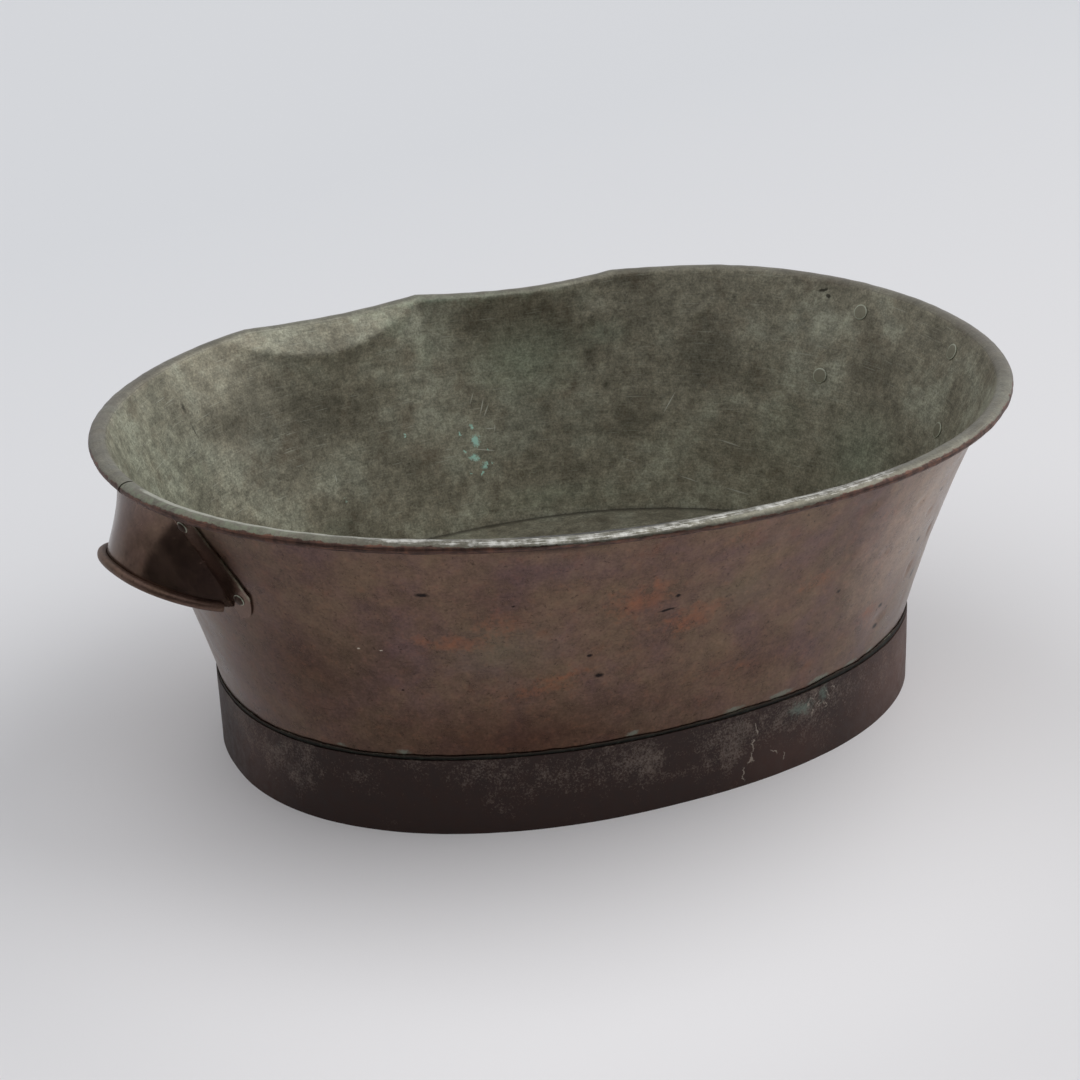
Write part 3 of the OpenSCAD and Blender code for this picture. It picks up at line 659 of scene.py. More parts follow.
def oxidised_tin(name, shape, colours, on_wall=True):
    """Hand-wiped tin over copper, gone dull: olive-grey and nearly matte, finely brushed, with brown copper
    ghosting through where the tin is thin, and a brighter skin where the rim is handled that is also a
    painted highlight, with a painted highlight along the roll's lower edge and a painted shadow line at its
    inner edge."""
    material, tree, shader = new_material(name)
    coordinates = add(tree, "TexCoord")
    place = {"Vector": coordinates.outputs["Object"]}
    flat = coordinates.outputs["UV" if on_wall else "Object"]
    cloud = add(tree, "TexNoise", {"Scale": per_mm(55), "Detail": 5.0, "Roughness": 0.6}, place)
    mottle = add(tree, "TexNoise", {"Scale": per_mm(9), "Detail": 7.0, "Roughness": 0.72}, place)
    grain = add(tree, "TexNoise", {"Scale": per_mm(1.9), "Detail": 3.0, "Roughness": 0.7}, place)
    pits = add(tree, "TexNoise", {"Scale": per_mm(6), "Detail": 5.0, "Roughness": 0.6}, place)
    crumbs = add(tree, "TexNoise", {"Scale": per_mm(3.2), "Detail": 6.0, "Roughness": 0.8}, place)
    # The wiping marks are drawn two millimetres wide; finer ones would not show
    laid = add(tree, "Mapping", {"Rotation": (0, 0, math.radians(14)), "Scale": (per_mm(24), per_mm(2), 1)},
               {"Vector": flat})
    wiped = add(tree, "TexNoise", {"Scale": 1.0, "Detail": 4.0, "Roughness": 0.65}, {"Vector": laid})
    colour = add(tree, "ValToRGB", {"stops": ((0.36, "#787465"), (0.5, colours.tin), (0.64, "#a2a291"))},
                 {"Fac": cloud})
    if on_wall:
        ragged = ragged_place(tree, 14, 30)
        colour = lay_stains_and_painted_light(tree, colour, shape, (
            # The dark blooms are partly painted shade under the bitten rim
            (DARK_BLOOMS_AND_SHADE, ragged, None, 0, 1, 0.6, "#45433a"),
            # The pale blooms are partly painted light
            (PALE_BLOOMS_AND_LIGHT, ragged, None, 0, 1, 0.8, "#9fa894"),
            (ROLL_BLOOMS, ragged, None, 0, 1, 0.75, "#8a7e76")))
    colour = grained(tree, colour, ((mottle, 0.36, 0.64, 0.28), (wiped, 0.36, 0.64, 0.08),
                                    (grain, 0.3, 0.7, 0.34)))
    ghost = add(tree, "TexNoise", {"noise_dimensions": "4D", "W": 5.0, "Scale": per_mm(24), "Detail": 7.0,
                                   "Roughness": 0.75}, place)
    ghost = add(tree, "MapRange", {"From Min": 0.52, "From Max": 0.68, "To Max": 0.4}, {"Value": ghost})
    specks = add(tree, "MapRange", {"From Min": 0.63, "From Max": 0.7, "To Max": 0.5}, {"Value": crumbs})
    specks = scratched(tree, specks, flat, 0.66, 0.55, ((58, 26, 1.1), (-24, 34, 1.1), (8, 40, 1.1)))
    pocks = add(tree, "MapRange", {"From Min": 0.34, "From Max": 0.28, "To Max": 0.6}, {"Value": crumbs})
    for level, tone in ((ghost, "#675645"), (specks, "#b9bbad"), (pocks, "#34332b")):
        colour = add(tree, "Mix", {"data_type": "RGBA", 7: tone}, {0: level, 6: colour})
    rough = add(tree, "MapRange", {"From Min": 0.3, "From Max": 0.7, "To Min": 0.46, "To Max": 0.62},
                {"Value": mottle})
    if on_wall:
        colour = lay_stains_and_painted_light(tree, colour, shape, (
            (INK_MARKS, ragged_place(tree, 3, 3), None, 0.15, 0.5, 0.85, "#2b2a22"),
            (SCRATCHES, ragged_place(tree, 20, 1.2), None, 0.1, 0.5, 0.8, "#cfd1c6"),
            (VERDIGRIS_SPOTS, ragged_place(tree, 4, 9), crumbs, 0.24, 0.34, 1.0, colours.verdigris)))
        rim_wear = add(tree, "Attribute", {"attribute_name": "rim_wear"})
        rim_tint = add(tree, "Attribute", {"attribute_name": "rim_tint"})
        top, bare_side, lower_edge_highlight = add(tree, "SeparateColor", {}, {0: rim_wear}).outputs
        painted_shadow_line, pale_line, crust = add(tree, "SeparateColor", {}, {0: rim_tint}).outputs
        rolled = add(tree, "Math", {"operation": "ADD"}, {0: top, 1: bare_side})
        rolled = add(tree, "MapRange", {"From Max": 0.4, "To Max": 0.62}, {"Value": rolled})
        streaky = add(tree, "Mix", {"data_type": "FLOAT", 0: 0.55}, {2: pits, 3: wiped})
        # Painted highlight: the worn tin on the roll's top is painted pale in broken streaks
        worn_tin_and_highlight = add(tree, "Math", {"operation": "MULTIPLY"}, {0: top, 1: streaky})
        worn_tin_and_highlight = add(tree, "MapRange", {"From Min": 0.45, "From Max": 0.57}, {"Value": worn_tin_and_highlight})
        green = add(tree, "MapRange", {"From Min": 0.44, "From Max": 0.6, "To Max": 0.7}, {"Value": pits})
        green = add(tree, "Math", {"operation": "MULTIPLY"}, {0: crust, 1: green})
        for level, tone in ((rolled, "#55534a"), (worn_tin_and_highlight, "#cdccc5"), (green, "#7d846f")):
            colour = add(tree, "Mix", {"data_type": "RGBA", 7: tone}, {0: level, 6: colour})
        rough = add(tree, "Mix", {"data_type": "FLOAT", 3: 0.27}, {0: top, 2: rough})
        bare = add(tree, "Math", {"operation": "MULTIPLY_ADD", 1: 1.6, 2: -0.8}, {0: mottle})
        bare = add(tree, "Math", {"operation": "ADD"}, {0: bare, 1: bare_side})
        bare = add(tree, "MapRange", {"From Min": 0.46, "From Max": 0.58}, {"Value": bare})
        copper = add(tree, "ValToRGB", {"stops": ((0.36, "#2e221c"), (0.5, "#58423a"), (0.66, "#835b49"))},
                     {"Fac": streaky})
        colour = add(tree, "Mix", {"data_type": "RGBA"}, {0: bare, 6: colour, 7: copper})
        # A painted highlight along the roll's lower edge, a painted shadow line at its inner edge, and a pale
        # line along its inner crest
        for line, tone, strength in ((lower_edge_highlight, "#a3948e", 0.8), (painted_shadow_line, "#1c1a16", 0.9),
                                     (pale_line, "#b4b5a8", 0.8)):
            broken = add(tree, "Math", {"operation": "MULTIPLY"}, {0: line, 1: mottle})
            level = add(tree, "MapRange", {"From Min": 0.25, "From Max": 0.5, "To Max": strength},
                        {"Value": broken})
            colour = add(tree, "Mix", {"data_type": "RGBA", 7: tone}, {0: level, 6: colour})
    else:
        # The floor is painted darker in the groove at its edge, and a little darker all over
        dirt = add(tree, "Attribute", {"attribute_name": "groove_dirt"}).outputs["Fac"]
        level = add(tree, "Math", {"operation": "MULTIPLY_ADD", 1: 0.6, 2: 0.25}, {0: dirt})
        colour = add(tree, "Mix", {"data_type": "RGBA", 7: "#2c2820"}, {0: level, 6: colour})
    surface(tree, shader, colour, rough, 0.65, (pits, 0.7, 0.6), (grain, 0.4, 0.15))
    return material


def wrought_iron(name, colours, shape=None):
    """Rolled iron strip, blackened and lightly rusted: brown-black with a dull sheen, and a fine grey-white
    bloom of dust and oxide in patches. Given the tub's shape, it also gets the band's own stains."""
    material, tree, shader = new_material(name)
    coordinates = add(tree, "TexCoord")
    place = {"Vector": coordinates.outputs["Object"]}
    cloud = add(tree, "TexNoise", {"Scale": per_mm(50), "Detail": 5.0, "Roughness": 0.6}, place)
    mottle = add(tree, "TexNoise", {"Scale": per_mm(9), "Detail": 6.0, "Roughness": 0.7}, place)
    grain = add(tree, "TexNoise", {"Scale": per_mm(1.7), "Detail": 5.0, "Roughness": 0.8}, place)
    colour = add(tree, "Mix", {"data_type": "RGBA", 6: colours.iron, 7: "#3d2720"}, {0: mottle})
    dust = add(tree, "Mix", {"data_type": "FLOAT", 0: 0.35}, {2: grain, 3: mottle})
    patches = [add(tree, "MapRange", {"From Min": 0.42, "From Max": 0.66, "To Min": -0.075, "To Max": 0.045},
                   {"Value": cloud})]
    if shape:
        held = marks_mask(tree, ragged_place(tree, 12, 60), BAND_DUST, shape)
        patches.append(add(tree, "Math", {"operation": "MULTIPLY", 1: 0.11}, {0: held}))
        # The pale bloom thins out towards the ground, so the band is darker at its foot
        height = add(tree, "SeparateXYZ", {}, {0: coordinates.outputs["UV"]}).outputs["Y"]
        patches.append(add(tree, "MapRange", {"From Min": -0.056, "From Max": -0.012, "To Min": -0.07,
                                              "To Max": 0.02}, {"Value": height}))
    for patch in patches:
        dust = add(tree, "Math", {"operation": "ADD"}, {0: dust, 1: patch})
    bloom = add(tree, "MapRange", {"From Min": 0.505, "From Max": 0.645, "To Max": 0.42 if shape else 0.15},
                {"Value": dust})
    colour = add(tree, "Mix", {"data_type": "RGBA", 7: "#92857a"}, {0: bloom, 6: colour})
    if shape:
        colour = lay_stains_and_painted_light(tree, colour, shape, (
            (BAND_RUST, ragged_place(tree, 16, 40), None, 0, 1, 0.6, "#66463b"),
            (BAND_STAINS, ragged_place(tree, 5, 18), grain, 0.16, 0.46, 0.65, "#64756b"),
            (BRAZE_LINES, ragged_place(tree, 6, 14), None, 0.15, 0.5, 0.75, "#9a8f83")))
    rough = add(tree, "MapRange", {"From Min": 0.3, "From Max": 0.7, "To Min": 0.48, "To Max": 0.68},
                {"Value": mottle})
    surface(tree, shader, colour, rough, 0.4, (mottle, 0.5, 0.25), (grain, 0.4, 0.12))
    return material


def old_solder(name):
    """Soft solder smeared along a joint, gone green-black with dirt, with a thin ragged smear of pale
    green-grey along its upper edge."""
    material, tree, shader = new_material(name)
    place = {"Vector": add(tree, "TexCoord").outputs["Object"]}
    crumbs = add(tree, "TexNoise", {"Scale": per_mm(4), "Detail": 6.0, "Roughness": 0.75}, place)
    patches = add(tree, "TexNoise", {"Scale": per_mm(26), "Detail": 3.0}, place)
    dark = add(tree, "ValToRGB", {"stops": ((0.4, "#0d0e0a"), (0.55, "#181b15"), (0.7, "#333b31"))},
               {"Fac": crumbs})
    upper = add(tree, "Attribute", {"attribute_name": "upper_edge"}).outputs["Fac"]
    wash = add(tree, "Mix", {"data_type": "RGBA", 7: "#3a2f28"}, {0: upper, 6: dark})
    both = add(tree, "Math", {"operation": "ADD"}, {0: crumbs, 1: patches})
    smear = add(tree, "Math", {"operation": "MULTIPLY"}, {0: both, 1: upper})
    level = add(tree, "MapRange", {"From Min": 1.04, "From Max": 1.18, "To Max": 0.7}, {"Value": smear})
    colour = add(tree, "Mix", {"data_type": "RGBA", 7: "#7f8a78"}, {0: level, 6: wash})
    surface(tree, shader, colour, 0.8, 0, (crumbs, 0.7, 0.4))
    shader.inputs["Specular IOR Level"].default_value = 0.25
    return material


def joint_grime(name):
    """Green-black dirt that has settled along the cut edge of a flange: matte and almost black."""
    material, tree, shader = new_material(name)
    place = {"Vector": add(tree, "TexCoord").outputs["Object"]}
    crumbs = add(tree, "TexNoise", {"Scale": per_mm(3), "Detail": 4.0, "Roughness": 0.7}, place)
    colour = add(tree, "ValToRGB", {"stops": ((0.42, "#11140e"), (0.6, "#27302a"), (0.72, "#56645a"))},
                 {"Fac": crumbs})
    surface(tree, shader, colour, 0.8, 0)
    return material


def rivet_copper(name):
    """Soft copper rivets, hammered down and brown-black, with a pale green ring of corrosion at the edge;
    their tails inside are tinned over like the wall."""
    material, tree, shader = new_material(name)
    place = {"Vector": add(tree, "TexCoord").outputs["Object"]}
    mottle = add(tree, "TexNoise", {"Scale": per_mm(3), "Detail": 5.0, "Roughness": 0.7}, place)
    form = add(tree, "Attribute", {"attribute_name": "rivet_form"})
    ring, tail, _ = add(tree, "SeparateColor", {}, {0: form}).outputs
    copper = add(tree, "Mix", {"data_type": "RGBA", 6: "#2a211c", 7: "#5a463a"}, {0: mottle})
    tin = add(tree, "Mix", {"data_type": "RGBA", 6: "#777464", 7: "#9a9886"}, {0: mottle})
    colour = add(tree, "Mix", {"data_type": "RGBA"}, {0: tail, 6: copper, 7: tin})
    broken = add(tree, "Math", {"operation": "MULTIPLY"}, {0: ring, 1: mottle})
    crust = add(tree, "MapRange", {"From Min": 0.3, "From Max": 0.46}, {"Value": broken})
    colour = add(tree, "Mix", {"data_type": "RGBA", 7: "#b4b8a6"}, {0: crust, 6: colour})
    surface(tree, shader, colour, 0.5, 0.6, (mottle, 0.5, 0.25))
    return material


def clear_selection():
    if bpy.context.object is not None and bpy.context.object.mode != "OBJECT":
        bpy.ops.object.mode_set(mode="OBJECT")
    bpy.ops.object.select_all(action="DESELECT")


def vertex_places(piece):
    """The piece's vertices as rows of x, y and z."""
    places = np.zeros(len(piece.data.vertices) * 3)
    piece.data.vertices.foreach_get("co", places)
    return places.reshape(-1, 3)


def laid_grid(name, across, down, lay):
    """A flat grid whose points are laid where lay(u, v) puts them, in metres, u and v running from 0 to 1."""
    clear_selection()
    bpy.ops.mesh.primitive_grid_add(x_subdivisions=across, y_subdivisions=down, size=1, location=(0, 0, 0))
    piece = bpy.context.object
    piece.name = name
    piece.data.name = name
    places = vertex_places(piece)
    u = np.round((places[:, 0] + 0.5) * across) / across
    v = np.round((places[:, 1] + 0.5) * down) / down
    piece.data.vertices.foreach_set("co", lay(u, v).ravel())
    piece.data.update()
    return piece, u, v


def lay_uv(piece, along, up):
    """Writes the unrolled place of every vertex, in metres, into the piece's UV map."""
    corners = np.zeros(len(piece.data.loops), int)
    piece.data.loops.foreach_get("vertex_index", corners)
    layer = piece.data.uv_layers[0] if piece.data.uv_layers else piece.data.uv_layers.new(name="Unrolled")
    layer.uv.foreach_set("vector", np.stack([along[corners], up[corners]], 1).ravel())


def paint(piece, name, colours):
    """Stores a colour for every vertex, for the material to read."""
    layer = piece.data.attributes.new(name, "FLOAT_COLOR", "POINT")
    alpha = np.ones((len(colours), 1))
    layer.data.foreach_set("color", np.concatenate([colours, alpha], 1).ravel())


def close_up(piece, flip=False, outwards=False):
    """Merges the points that meet, and turns the faces over, or all of them outwards, if asked."""
    bpy.context.view_layer.objects.active = piece
    bpy.ops.object.mode_set(mode="EDIT")
    bpy.ops.mesh.select_all(action="SELECT")
    bpy.ops.mesh.remove_doubles(threshold=0.00001)
    if flip:
        bpy.ops.mesh.flip_normals()
    if outwards:
        bpy.ops.mesh.normals_make_consistent(inside=False)
    bpy.ops.object.mode_set(mode="OBJECT")


def thicken(piece, thickness, inner_material=0, rim_material=0):
    """Gives a sheet its thickness, half to each side."""
    bpy.context.view_layer.objects.active = piece
    solid = piece.modifiers.new("Thickness", "SOLIDIFY")
    solid.thickness = thickness
    solid.offset = 0
    solid.use_quality_normals = True
    solid.material_offset = inner_material
    solid.material_offset_rim = rim_material
    bpy.ops.object.modifier_apply(modifier=solid.name)


def smooth(piece, degrees):
    clear_selection()
    piece.select_set(True)
    bpy.context.view_layer.objects.active = piece
    bpy.ops.object.shade_smooth_by_angle(angle=math.radians(degrees))


def dress(piece, slot, nodes, *materials):
    """Gives the piece its materials and ties it to the frame."""
    while len(piece.data.materials) < len(materials):
        piece.data.materials.append(None)
    for index, material in enumerate(materials):
        piece.data.materials[index] = material
    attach(piece, "root")
    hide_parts(*nodes)


def join(pieces, name):
    clear_selection()
    for piece in pieces:
        piece.select_set(True)
    bpy.context.view_layer.objects.active = pieces[0]
    bpy.ops.object.join()
    pieces[0].name = name
    pieces[0].data.name = name
    return pieces[0]


class TubOperator:
    """What every piece's operator shares."""
    bl_options = {"REGISTER", "UNDO"}

    def begin(self, context):
        if not frame["nodes"]:
            raise RuntimeError("the frame has no nodes to dress")
        return Shape(context.scene.tub_sizes), context.scene.tub_colours


class TUB_OT_stage(TubOperator, bpy.types.Operator):
    """Adds the pale floor, the soft light and the camera"""
    bl_idname = "tub.stage"
    bl_label = "Stage"

    camera_place = (-0.6894, -1.5059, 0.8233)
    camera_right = (0.90815, -0.41716, -0.03519)
    camera_up = (0.1903, 0.33649, 0.92226)
    camera_back = (-0.37288, -0.84425, 0.38497)
    camera_lens = 76.667
    camera_sensor = 36.0
    # Where the sun stands, how wide it is in degrees, and how strong
    key_from = (1.0, -0.05, 0.95)
    key_width = 55.0
    key_energy = 0.95
    # The way to the dark room, and how much of the light is missing there
    room_way = (-0.515, -0.857, 0)
    room_darkness = 0.94
    # The way in which the floor is painted darker, and the middle of the pool of painted light near the tub
    painted_falloff_way = (-0.35, 0.94, 0)
    painted_light_middle = (-0.1, -0.15, 0)
    # The black cloth lies between these distances in metres and these turns in degrees
    cloth_reach = (0.62, 9.0)
    cloth_turns = (-62.0, -178.0)

    def execute(self, context):
        _, colours = self.begin(context)
        self.ground(colours)
        self.dark_floor()
        self.light(context)
        self.camera(context)
        return {"FINISHED"}

    def ground(self, colours):
        clear_selection()
        bpy.ops.mesh.primitive_circle_add(vertices=96, radius=40, fill_type="NGON", location=(0, 0, 0))
        ground = bpy.context.object
        ground.name = "ground"
        material, tree, shader = new_material("Painted studio floor")
        place = add(tree, "TexCoord").outputs["Object"]
        faint = add(tree, "TexNoise", {"Scale": 0.8, "Detail": 2.0}, {"Vector": place})
        # Painted light: the floor is painted a little lighter in front and to the right of the tub, and
        # lightest right by it, which lifts the tub's shadow there
        back = add(tree, "VectorMath", {"operation": "DOT_PRODUCT", 1: self.painted_falloff_way}, {0: place})
        painted_falloff = add(tree, "MapRange", {"From Min": -0.45, "From Max": 1.6}, {"Value": back})
        painted_falloff = add(tree, "Math", {"operation": "MULTIPLY_ADD", 1: 0.1}, {0: faint, 2: painted_falloff})
        tone = add(tree, "Mix", {"data_type": "RGBA", 6: "#e5e4e5", 7: colours.ground}, {0: painted_falloff})
        away = add(tree, "VectorMath", {"operation": "DISTANCE", 1: self.painted_light_middle}, {0: place})
        painted_light_pool = add(tree, "MapRange", {"interpolation_type": "SMOOTHSTEP", "From Min": 0.26, "From Max": 0.47,
                                       "To Min": 1.0, "To Max": 0.0}, {"Value": away})
        tone = add(tree, "Mix", {"data_type": "RGBA", 7: "#f3f2f3"}, {0: painted_light_pool, 6: tone})
        surface(tree, shader, tone, 0.75, 0)
        ground.data.materials.append(material)

    def dark_floor(self):
        """The unlit floor behind the camera, which only the copper's reflections see."""
        def lay(u, v):
            reach = np.interp(v, (0, 1), self.cloth_reach)
            turn = np.interp(u, (0, 1), self.cloth_turns)
            return np.stack([reach * cos(turn), reach * sin(turn), np.full_like(u, MM)], 1)

        cloth, u, v = laid_grid("dark_floor", 24, 4, lay)
        material, tree, shader = new_material("Black studio cloth")
        weave = add(tree, "TexNoise", {"Scale": per_mm(20), "Detail": 3.0},
                    {"Vector": add(tree, "TexCoord").outputs["Object"]})
        tone = add(tree, "Mix", {"data_type": "RGBA", 6: "#1a1a1a", 7: "#262626"}, {0: weave})
        surface(tree, shader, tone, 0.9, 0)
        # Seen from below, from the pale floor under it, the cloth isn't there
        below = add(tree, "NewGeometry").outputs["Backfacing"]
        clear = add(tree, "BsdfTransparent")
        side = add(tree, "MixShader", {}, {0: below, 1: shader, 2: clear})
        output = next(node for node in tree.nodes if node.type == "OUTPUT_MATERIAL")
        link(tree, side, output.inputs["Surface"])
        cloth.data.materials.append(material)
        cloth.visible_camera = False
        cloth.visible_diffuse = False
        cloth.visible_shadow = False

    def light(self, context):
        world = bpy.data.worlds.new("Studio")
        context.scene.world = world
        world.use_nodes = True
        tree = world.node_tree
        tree.nodes.clear()
        way = add(tree, "TexCoord").outputs["Generated"]
        across, _, height = add(tree, "SeparateXYZ", {}, {0: way}).outputs
        horizon = add(tree, "MapRange", {"From Min": -0.8, "From Max": 0.8, "To Min": 0.38, "To Max": 0.78},
                      {"Value": across})
        overhead = add(tree, "MapRange",
                       {"interpolation_type": "SMOOTHSTEP", "From Max": 0.75, "To Max": 0.88},
                       {"Value": height, "To Min": horizon})
        # The unlit room behind the camera is dark up to where the overhead light begins
        level_way = add(tree, "VectorMath", {"operation": "MULTIPLY", 1: (1, 1, 0)}, {0: way})
        level_way = add(tree, "VectorMath", {"operation": "NORMALIZE"}, {0: level_way})
        facing = add(tree, "VectorMath", {"operation": "DOT_PRODUCT", 1: self.room_way}, {0: level_way})
        room = add(tree, "MapRange", {"interpolation_type": "SMOOTHSTEP", "From Min": 0.4, "From Max": 0.6},
                   {"Value": facing})
        low = add(tree, "MapRange", {"interpolation_type": "SMOOTHSTEP", "From Min": 0.62, "From Max": 0.4},
                  {"Value": height})
        # The picture itself never shows the dark room
        seen = add(tree, "LightPath").outputs["Is Camera Ray"]
        unseen = add(tree, "Math", {"operation": "SUBTRACT", 0: 1.0}, {1: seen})
        for part in (low, unseen):
            room = add(tree, "Math", {"operation": "MULTIPLY"}, {0: room, 1: part})
        lit = add(tree, "Math", {"operation": "MULTIPLY_ADD", 1: -self.room_darkness, 2: 1.0}, {0: room})
        level = add(tree, "Math", {"operation": "MULTIPLY"}, {0: overhead, 1: lit})
        glow = add(tree, "Background", {"Color": "#fbfbfd"}, {"Strength": level})
        add(tree, "OutputWorld", {}, {"Surface": glow})
        sun = bpy.data.lights.new("Key", "SUN")
        sun.energy = self.key_energy
        sun.angle = math.radians(self.key_width)
        lamp = bpy.data.objects.new("Key", sun)
        context.scene.collection.objects.link(lamp)
        lamp.rotation_euler = (-Vector(self.key_from)).to_track_quat("-Z", "Y").to_euler()

    def camera(self, context):
        camera = bpy.data.cameras.new("Camera")
        camera.sensor_width = self.camera_sensor
        camera.lens = self.camera_lens
        camera.clip_start = 0.05
        camera.clip_end = 200.0
        eye = bpy.data.objects.new("Camera", camera)
        context.scene.collection.objects.link(eye)
        axes = Matrix((self.camera_right, self.camera_up, self.camera_back)).transposed()
        eye.matrix_world = Matrix.Translation(self.camera_place) @ axes.to_4x4()
        context.scene.camera = eye
        context.scene.view_settings.view_transform = "Standard"


class TUB_OT_bowl(TubOperator, bpy.types.Operator):
    """Makes the two rippled wall sheets with the rolled rim"""
    bl_idname = "tub.bowl"
    bl_label = "Bowl"

    columns = 400
    skirt_rows = 5
    wall_rows = 78
    roll_rows = 30
    # The gap at each seam, and the one between the roll's ends at the left seam, in degrees
    seam_gap = 0.012
    roll_gap = 0.18
    # How far the roll measures across when it is laid out flat, in metres
    roll_reach = 0.038
    # Where the front of the roll is worn by handling and painted with highlights, and where it is flattened
    handled_and_highlit_front = (222.0, 297.0)
    flat_lip = (252.0, 12.0)

    def execute(self, context):
        shape, colours = self.begin(context)
        outside = patinated_copper("Patinated sheet copper", shape, colours, True)
        inside = oxidised_tin("Oxidised tin over copper", shape, colours)
        for name, first, node in (("bowl_back", SEAM_TURN, "wall_back"),
                                  ("bowl_front", SEAM_TURN + HALF_TURN, "wall_front")):
            piece = self.half(name, shape, first)
            dress(piece, "copper_patina", [node], outside, inside)
        return {"FINISHED"}

    def half(self, name, shape, first):
        rows = self.skirt_rows + self.wall_rows + self.roll_rows

        def split(v):
            row = np.round(v * rows)
            skirt = np.clip((self.skirt_rows - row) / self.skirt_rows, 0, 1)
            share = np.clip((row - self.skirt_rows) / self.wall_rows, 0, 1)
            rolled = np.clip((row - self.skirt_rows - self.wall_rows) / self.roll_rows, 0, 1)
            return skirt, share, rolled, ROLL_START + (ROLL_END - ROLL_START) * rolled

        def turns(u, rolled=0):
            # The roll's ends stand a little apart at the left seam, which leaves a notch
            opened = self.roll_gap * np.clip(rolled / 0.15, 0, 1)
            start, end = (opened, 0) if first > HALF_TURN else (0, opened)
            return first + self.seam_gap + start + (HALF_TURN - 2 * self.seam_gap - start - end) * u

        def lay(u, v):
            skirt, share, rolled, angle = split(v)
            turn = turns(u, rolled)
            wall = shape.wall_at(turn, share, 0)
            wall[:, 2] -= SKIRT_DEPTH * skirt
            flat = bite(turn, *self.flat_lip)
            half_width = shape.roll_a - shape.sheet / 2 + 0.9 * flat * np.clip(sin(angle), 0, 1)
            half_height = shape.roll_b - shape.sheet / 2 - 0.5 * flat
            roll = shape.on_roll(turn, angle, half_width, half_height)
            out = unit(roll - shape.roll_centre(turn))
            lump = shape.lumps * (uneven(roll, 11, 3.0) + 0.6 * uneven(roll, 30, 9.0))
            roll = roll + out * (lump * np.clip(rolled / 0.1, 0, 1))[:, None]
            return shape.place(np.where((rolled > 0)[:, None], roll, wall))

        piece, u, v = laid_grid(name, self.columns, rows, lay)
        skirt, share, rolled, angle = split(v)
        turn = turns(u)
        along, up = shape.unrolled(turn, share)
        lay_uv(piece, along, up - SKIRT_DEPTH * skirt * MM + rolled * self.roll_reach)
        self.paint_roll(piece, np.mod(turn, FULL_TURN), angle, (rolled > 0)[:, None])
        close_up(piece, flip=self.faces_in(piece))
        piece.data.materials.append(None)
        piece.data.materials.append(None)
        thicken(piece, shape.sheet * MM, inner_material=1, rim_material=1)
        smooth(piece, 50)
        return piece

    def paint_roll(self, piece, here, angle, on_roll):
        """Marks the roll's worn places, its painted highlights and its painted shadow line, by the turn round
        the rim and the angle round the roll, 90 on top.
        """
        # Painted highlight with the worn tin: the roll's top, leaned outwards at the front and strongest on
        # the handled front, is painted pale
        handled = 0.45 + 0.55 * between(here, *self.handled_and_highlit_front, 8)
        lean = 36 * between(here, 234, 270, 10)
        top = np.clip(sin(angle + lean), 0, 1) ** 0.7 * handled
        tinned = 24 * between(here, 236, 290, 14)
        bare_side = np.clip((58 - tinned - angle) / 50, 0, 1) * (0.82 + 0.18 * between(here, 190, 330, 15))
        # Painted highlight: a pale line along the roll's lower edge
        lower_edge_highlight = between(angle, -74, -50, 7)
        paint(piece, "rim_wear", np.stack([top, bare_side, lower_edge_highlight], 1) * on_roll)
        # Painted shadow line along the roll's inner edge; seen from the front the roll hides its inner edge,
        # so the line there is drawn on top of it
        crest = between(angle, 84, 160, 8)
        ends = np.max([between(here, *span, 8) for span in ((96, 186), (318, 370), (-10, 38))], axis=0)
        painted_shadow_line = np.maximum(0.62 * between(angle, 138, 162, 8) * ends, crest * between(here, 243, 265, 3))
        pale_line = crest * between(here, 186, 234, 6)
        crust = between(here, 184, 226, 8) * between(angle, 20, 150, 15)
        paint(piece, "rim_tint", np.stack([painted_shadow_line, pale_line, crust], 1) * on_roll)

    def faces_in(self, piece):
        """True if the wall's faces look towards the middle of the tub, by a sample of them in mid wall."""
        total = 0.0
        for face in list(piece.data.polygons)[::97]:
            if 0.08 < face.center.z < 0.2:
                total += face.normal.x * face.center.x + face.normal.y * face.center.y
        return total < 0


class TUB_OT_floor(TubOperator, bpy.types.Operator):
    """Makes the tinned floor with its turned-down edge"""
    bl_idname = "tub.floor"
    bl_label = "Floor"

    columns = 240
    rings = 60
    edge_rows = 6

    def execute(self, context):
        shape, colours = self.begin(context)
        rows = self.rings + self.edge_rows
        level = shape.foot_z + FLOOR_STEP - shape.sheet / 2
        inset = shape.floor_inset + shape.sheet / 2

        def lay(u, v):
            turn = FULL_TURN * u
            row = np.round(v * rows)
            reach = np.clip(row / self.rings, 0, 1)
            drop = np.clip((row - self.rings) / self.edge_rows, 0, 1)
            edge = oval(turn, shape.foot_a - inset, shape.foot_b - inset, FOOT_SQUARENESS)
            points = edge * reach[:, None]
            points[:, 2] = level - (FLOOR_EDGE - shape.sheet / 2) * drop
            flat = points * [1, 1, 0]
            fade = np.clip((1 - reach) / 0.06, 0, 1)
            points[:, 2] += fade * (0.8 * uneven(flat, 120, 2.0) + 0.25 * uneven(flat, 30, 5.0))
            return shape.place(points)

        piece, u, v = laid_grid("floor_sheet", self.columns, rows, lay)
        # The floor is painted darker in the groove between the floor and the wall
        groove = np.clip((v * rows / self.rings - 0.965) / 0.025, 0, 1)
        paint(piece, "groove_dirt", np.stack([groove] * 3, 1))
        close_up(piece, outwards=True)
        thicken(piece, shape.sheet * MM)
        smooth(piece, 45)
        tin = oxidised_tin("Oxidised tin on the floor", shape, colours, False)
        dress(piece, "tinned_copper", ["floor_pan"], tin)
        return {"FINISHED"}


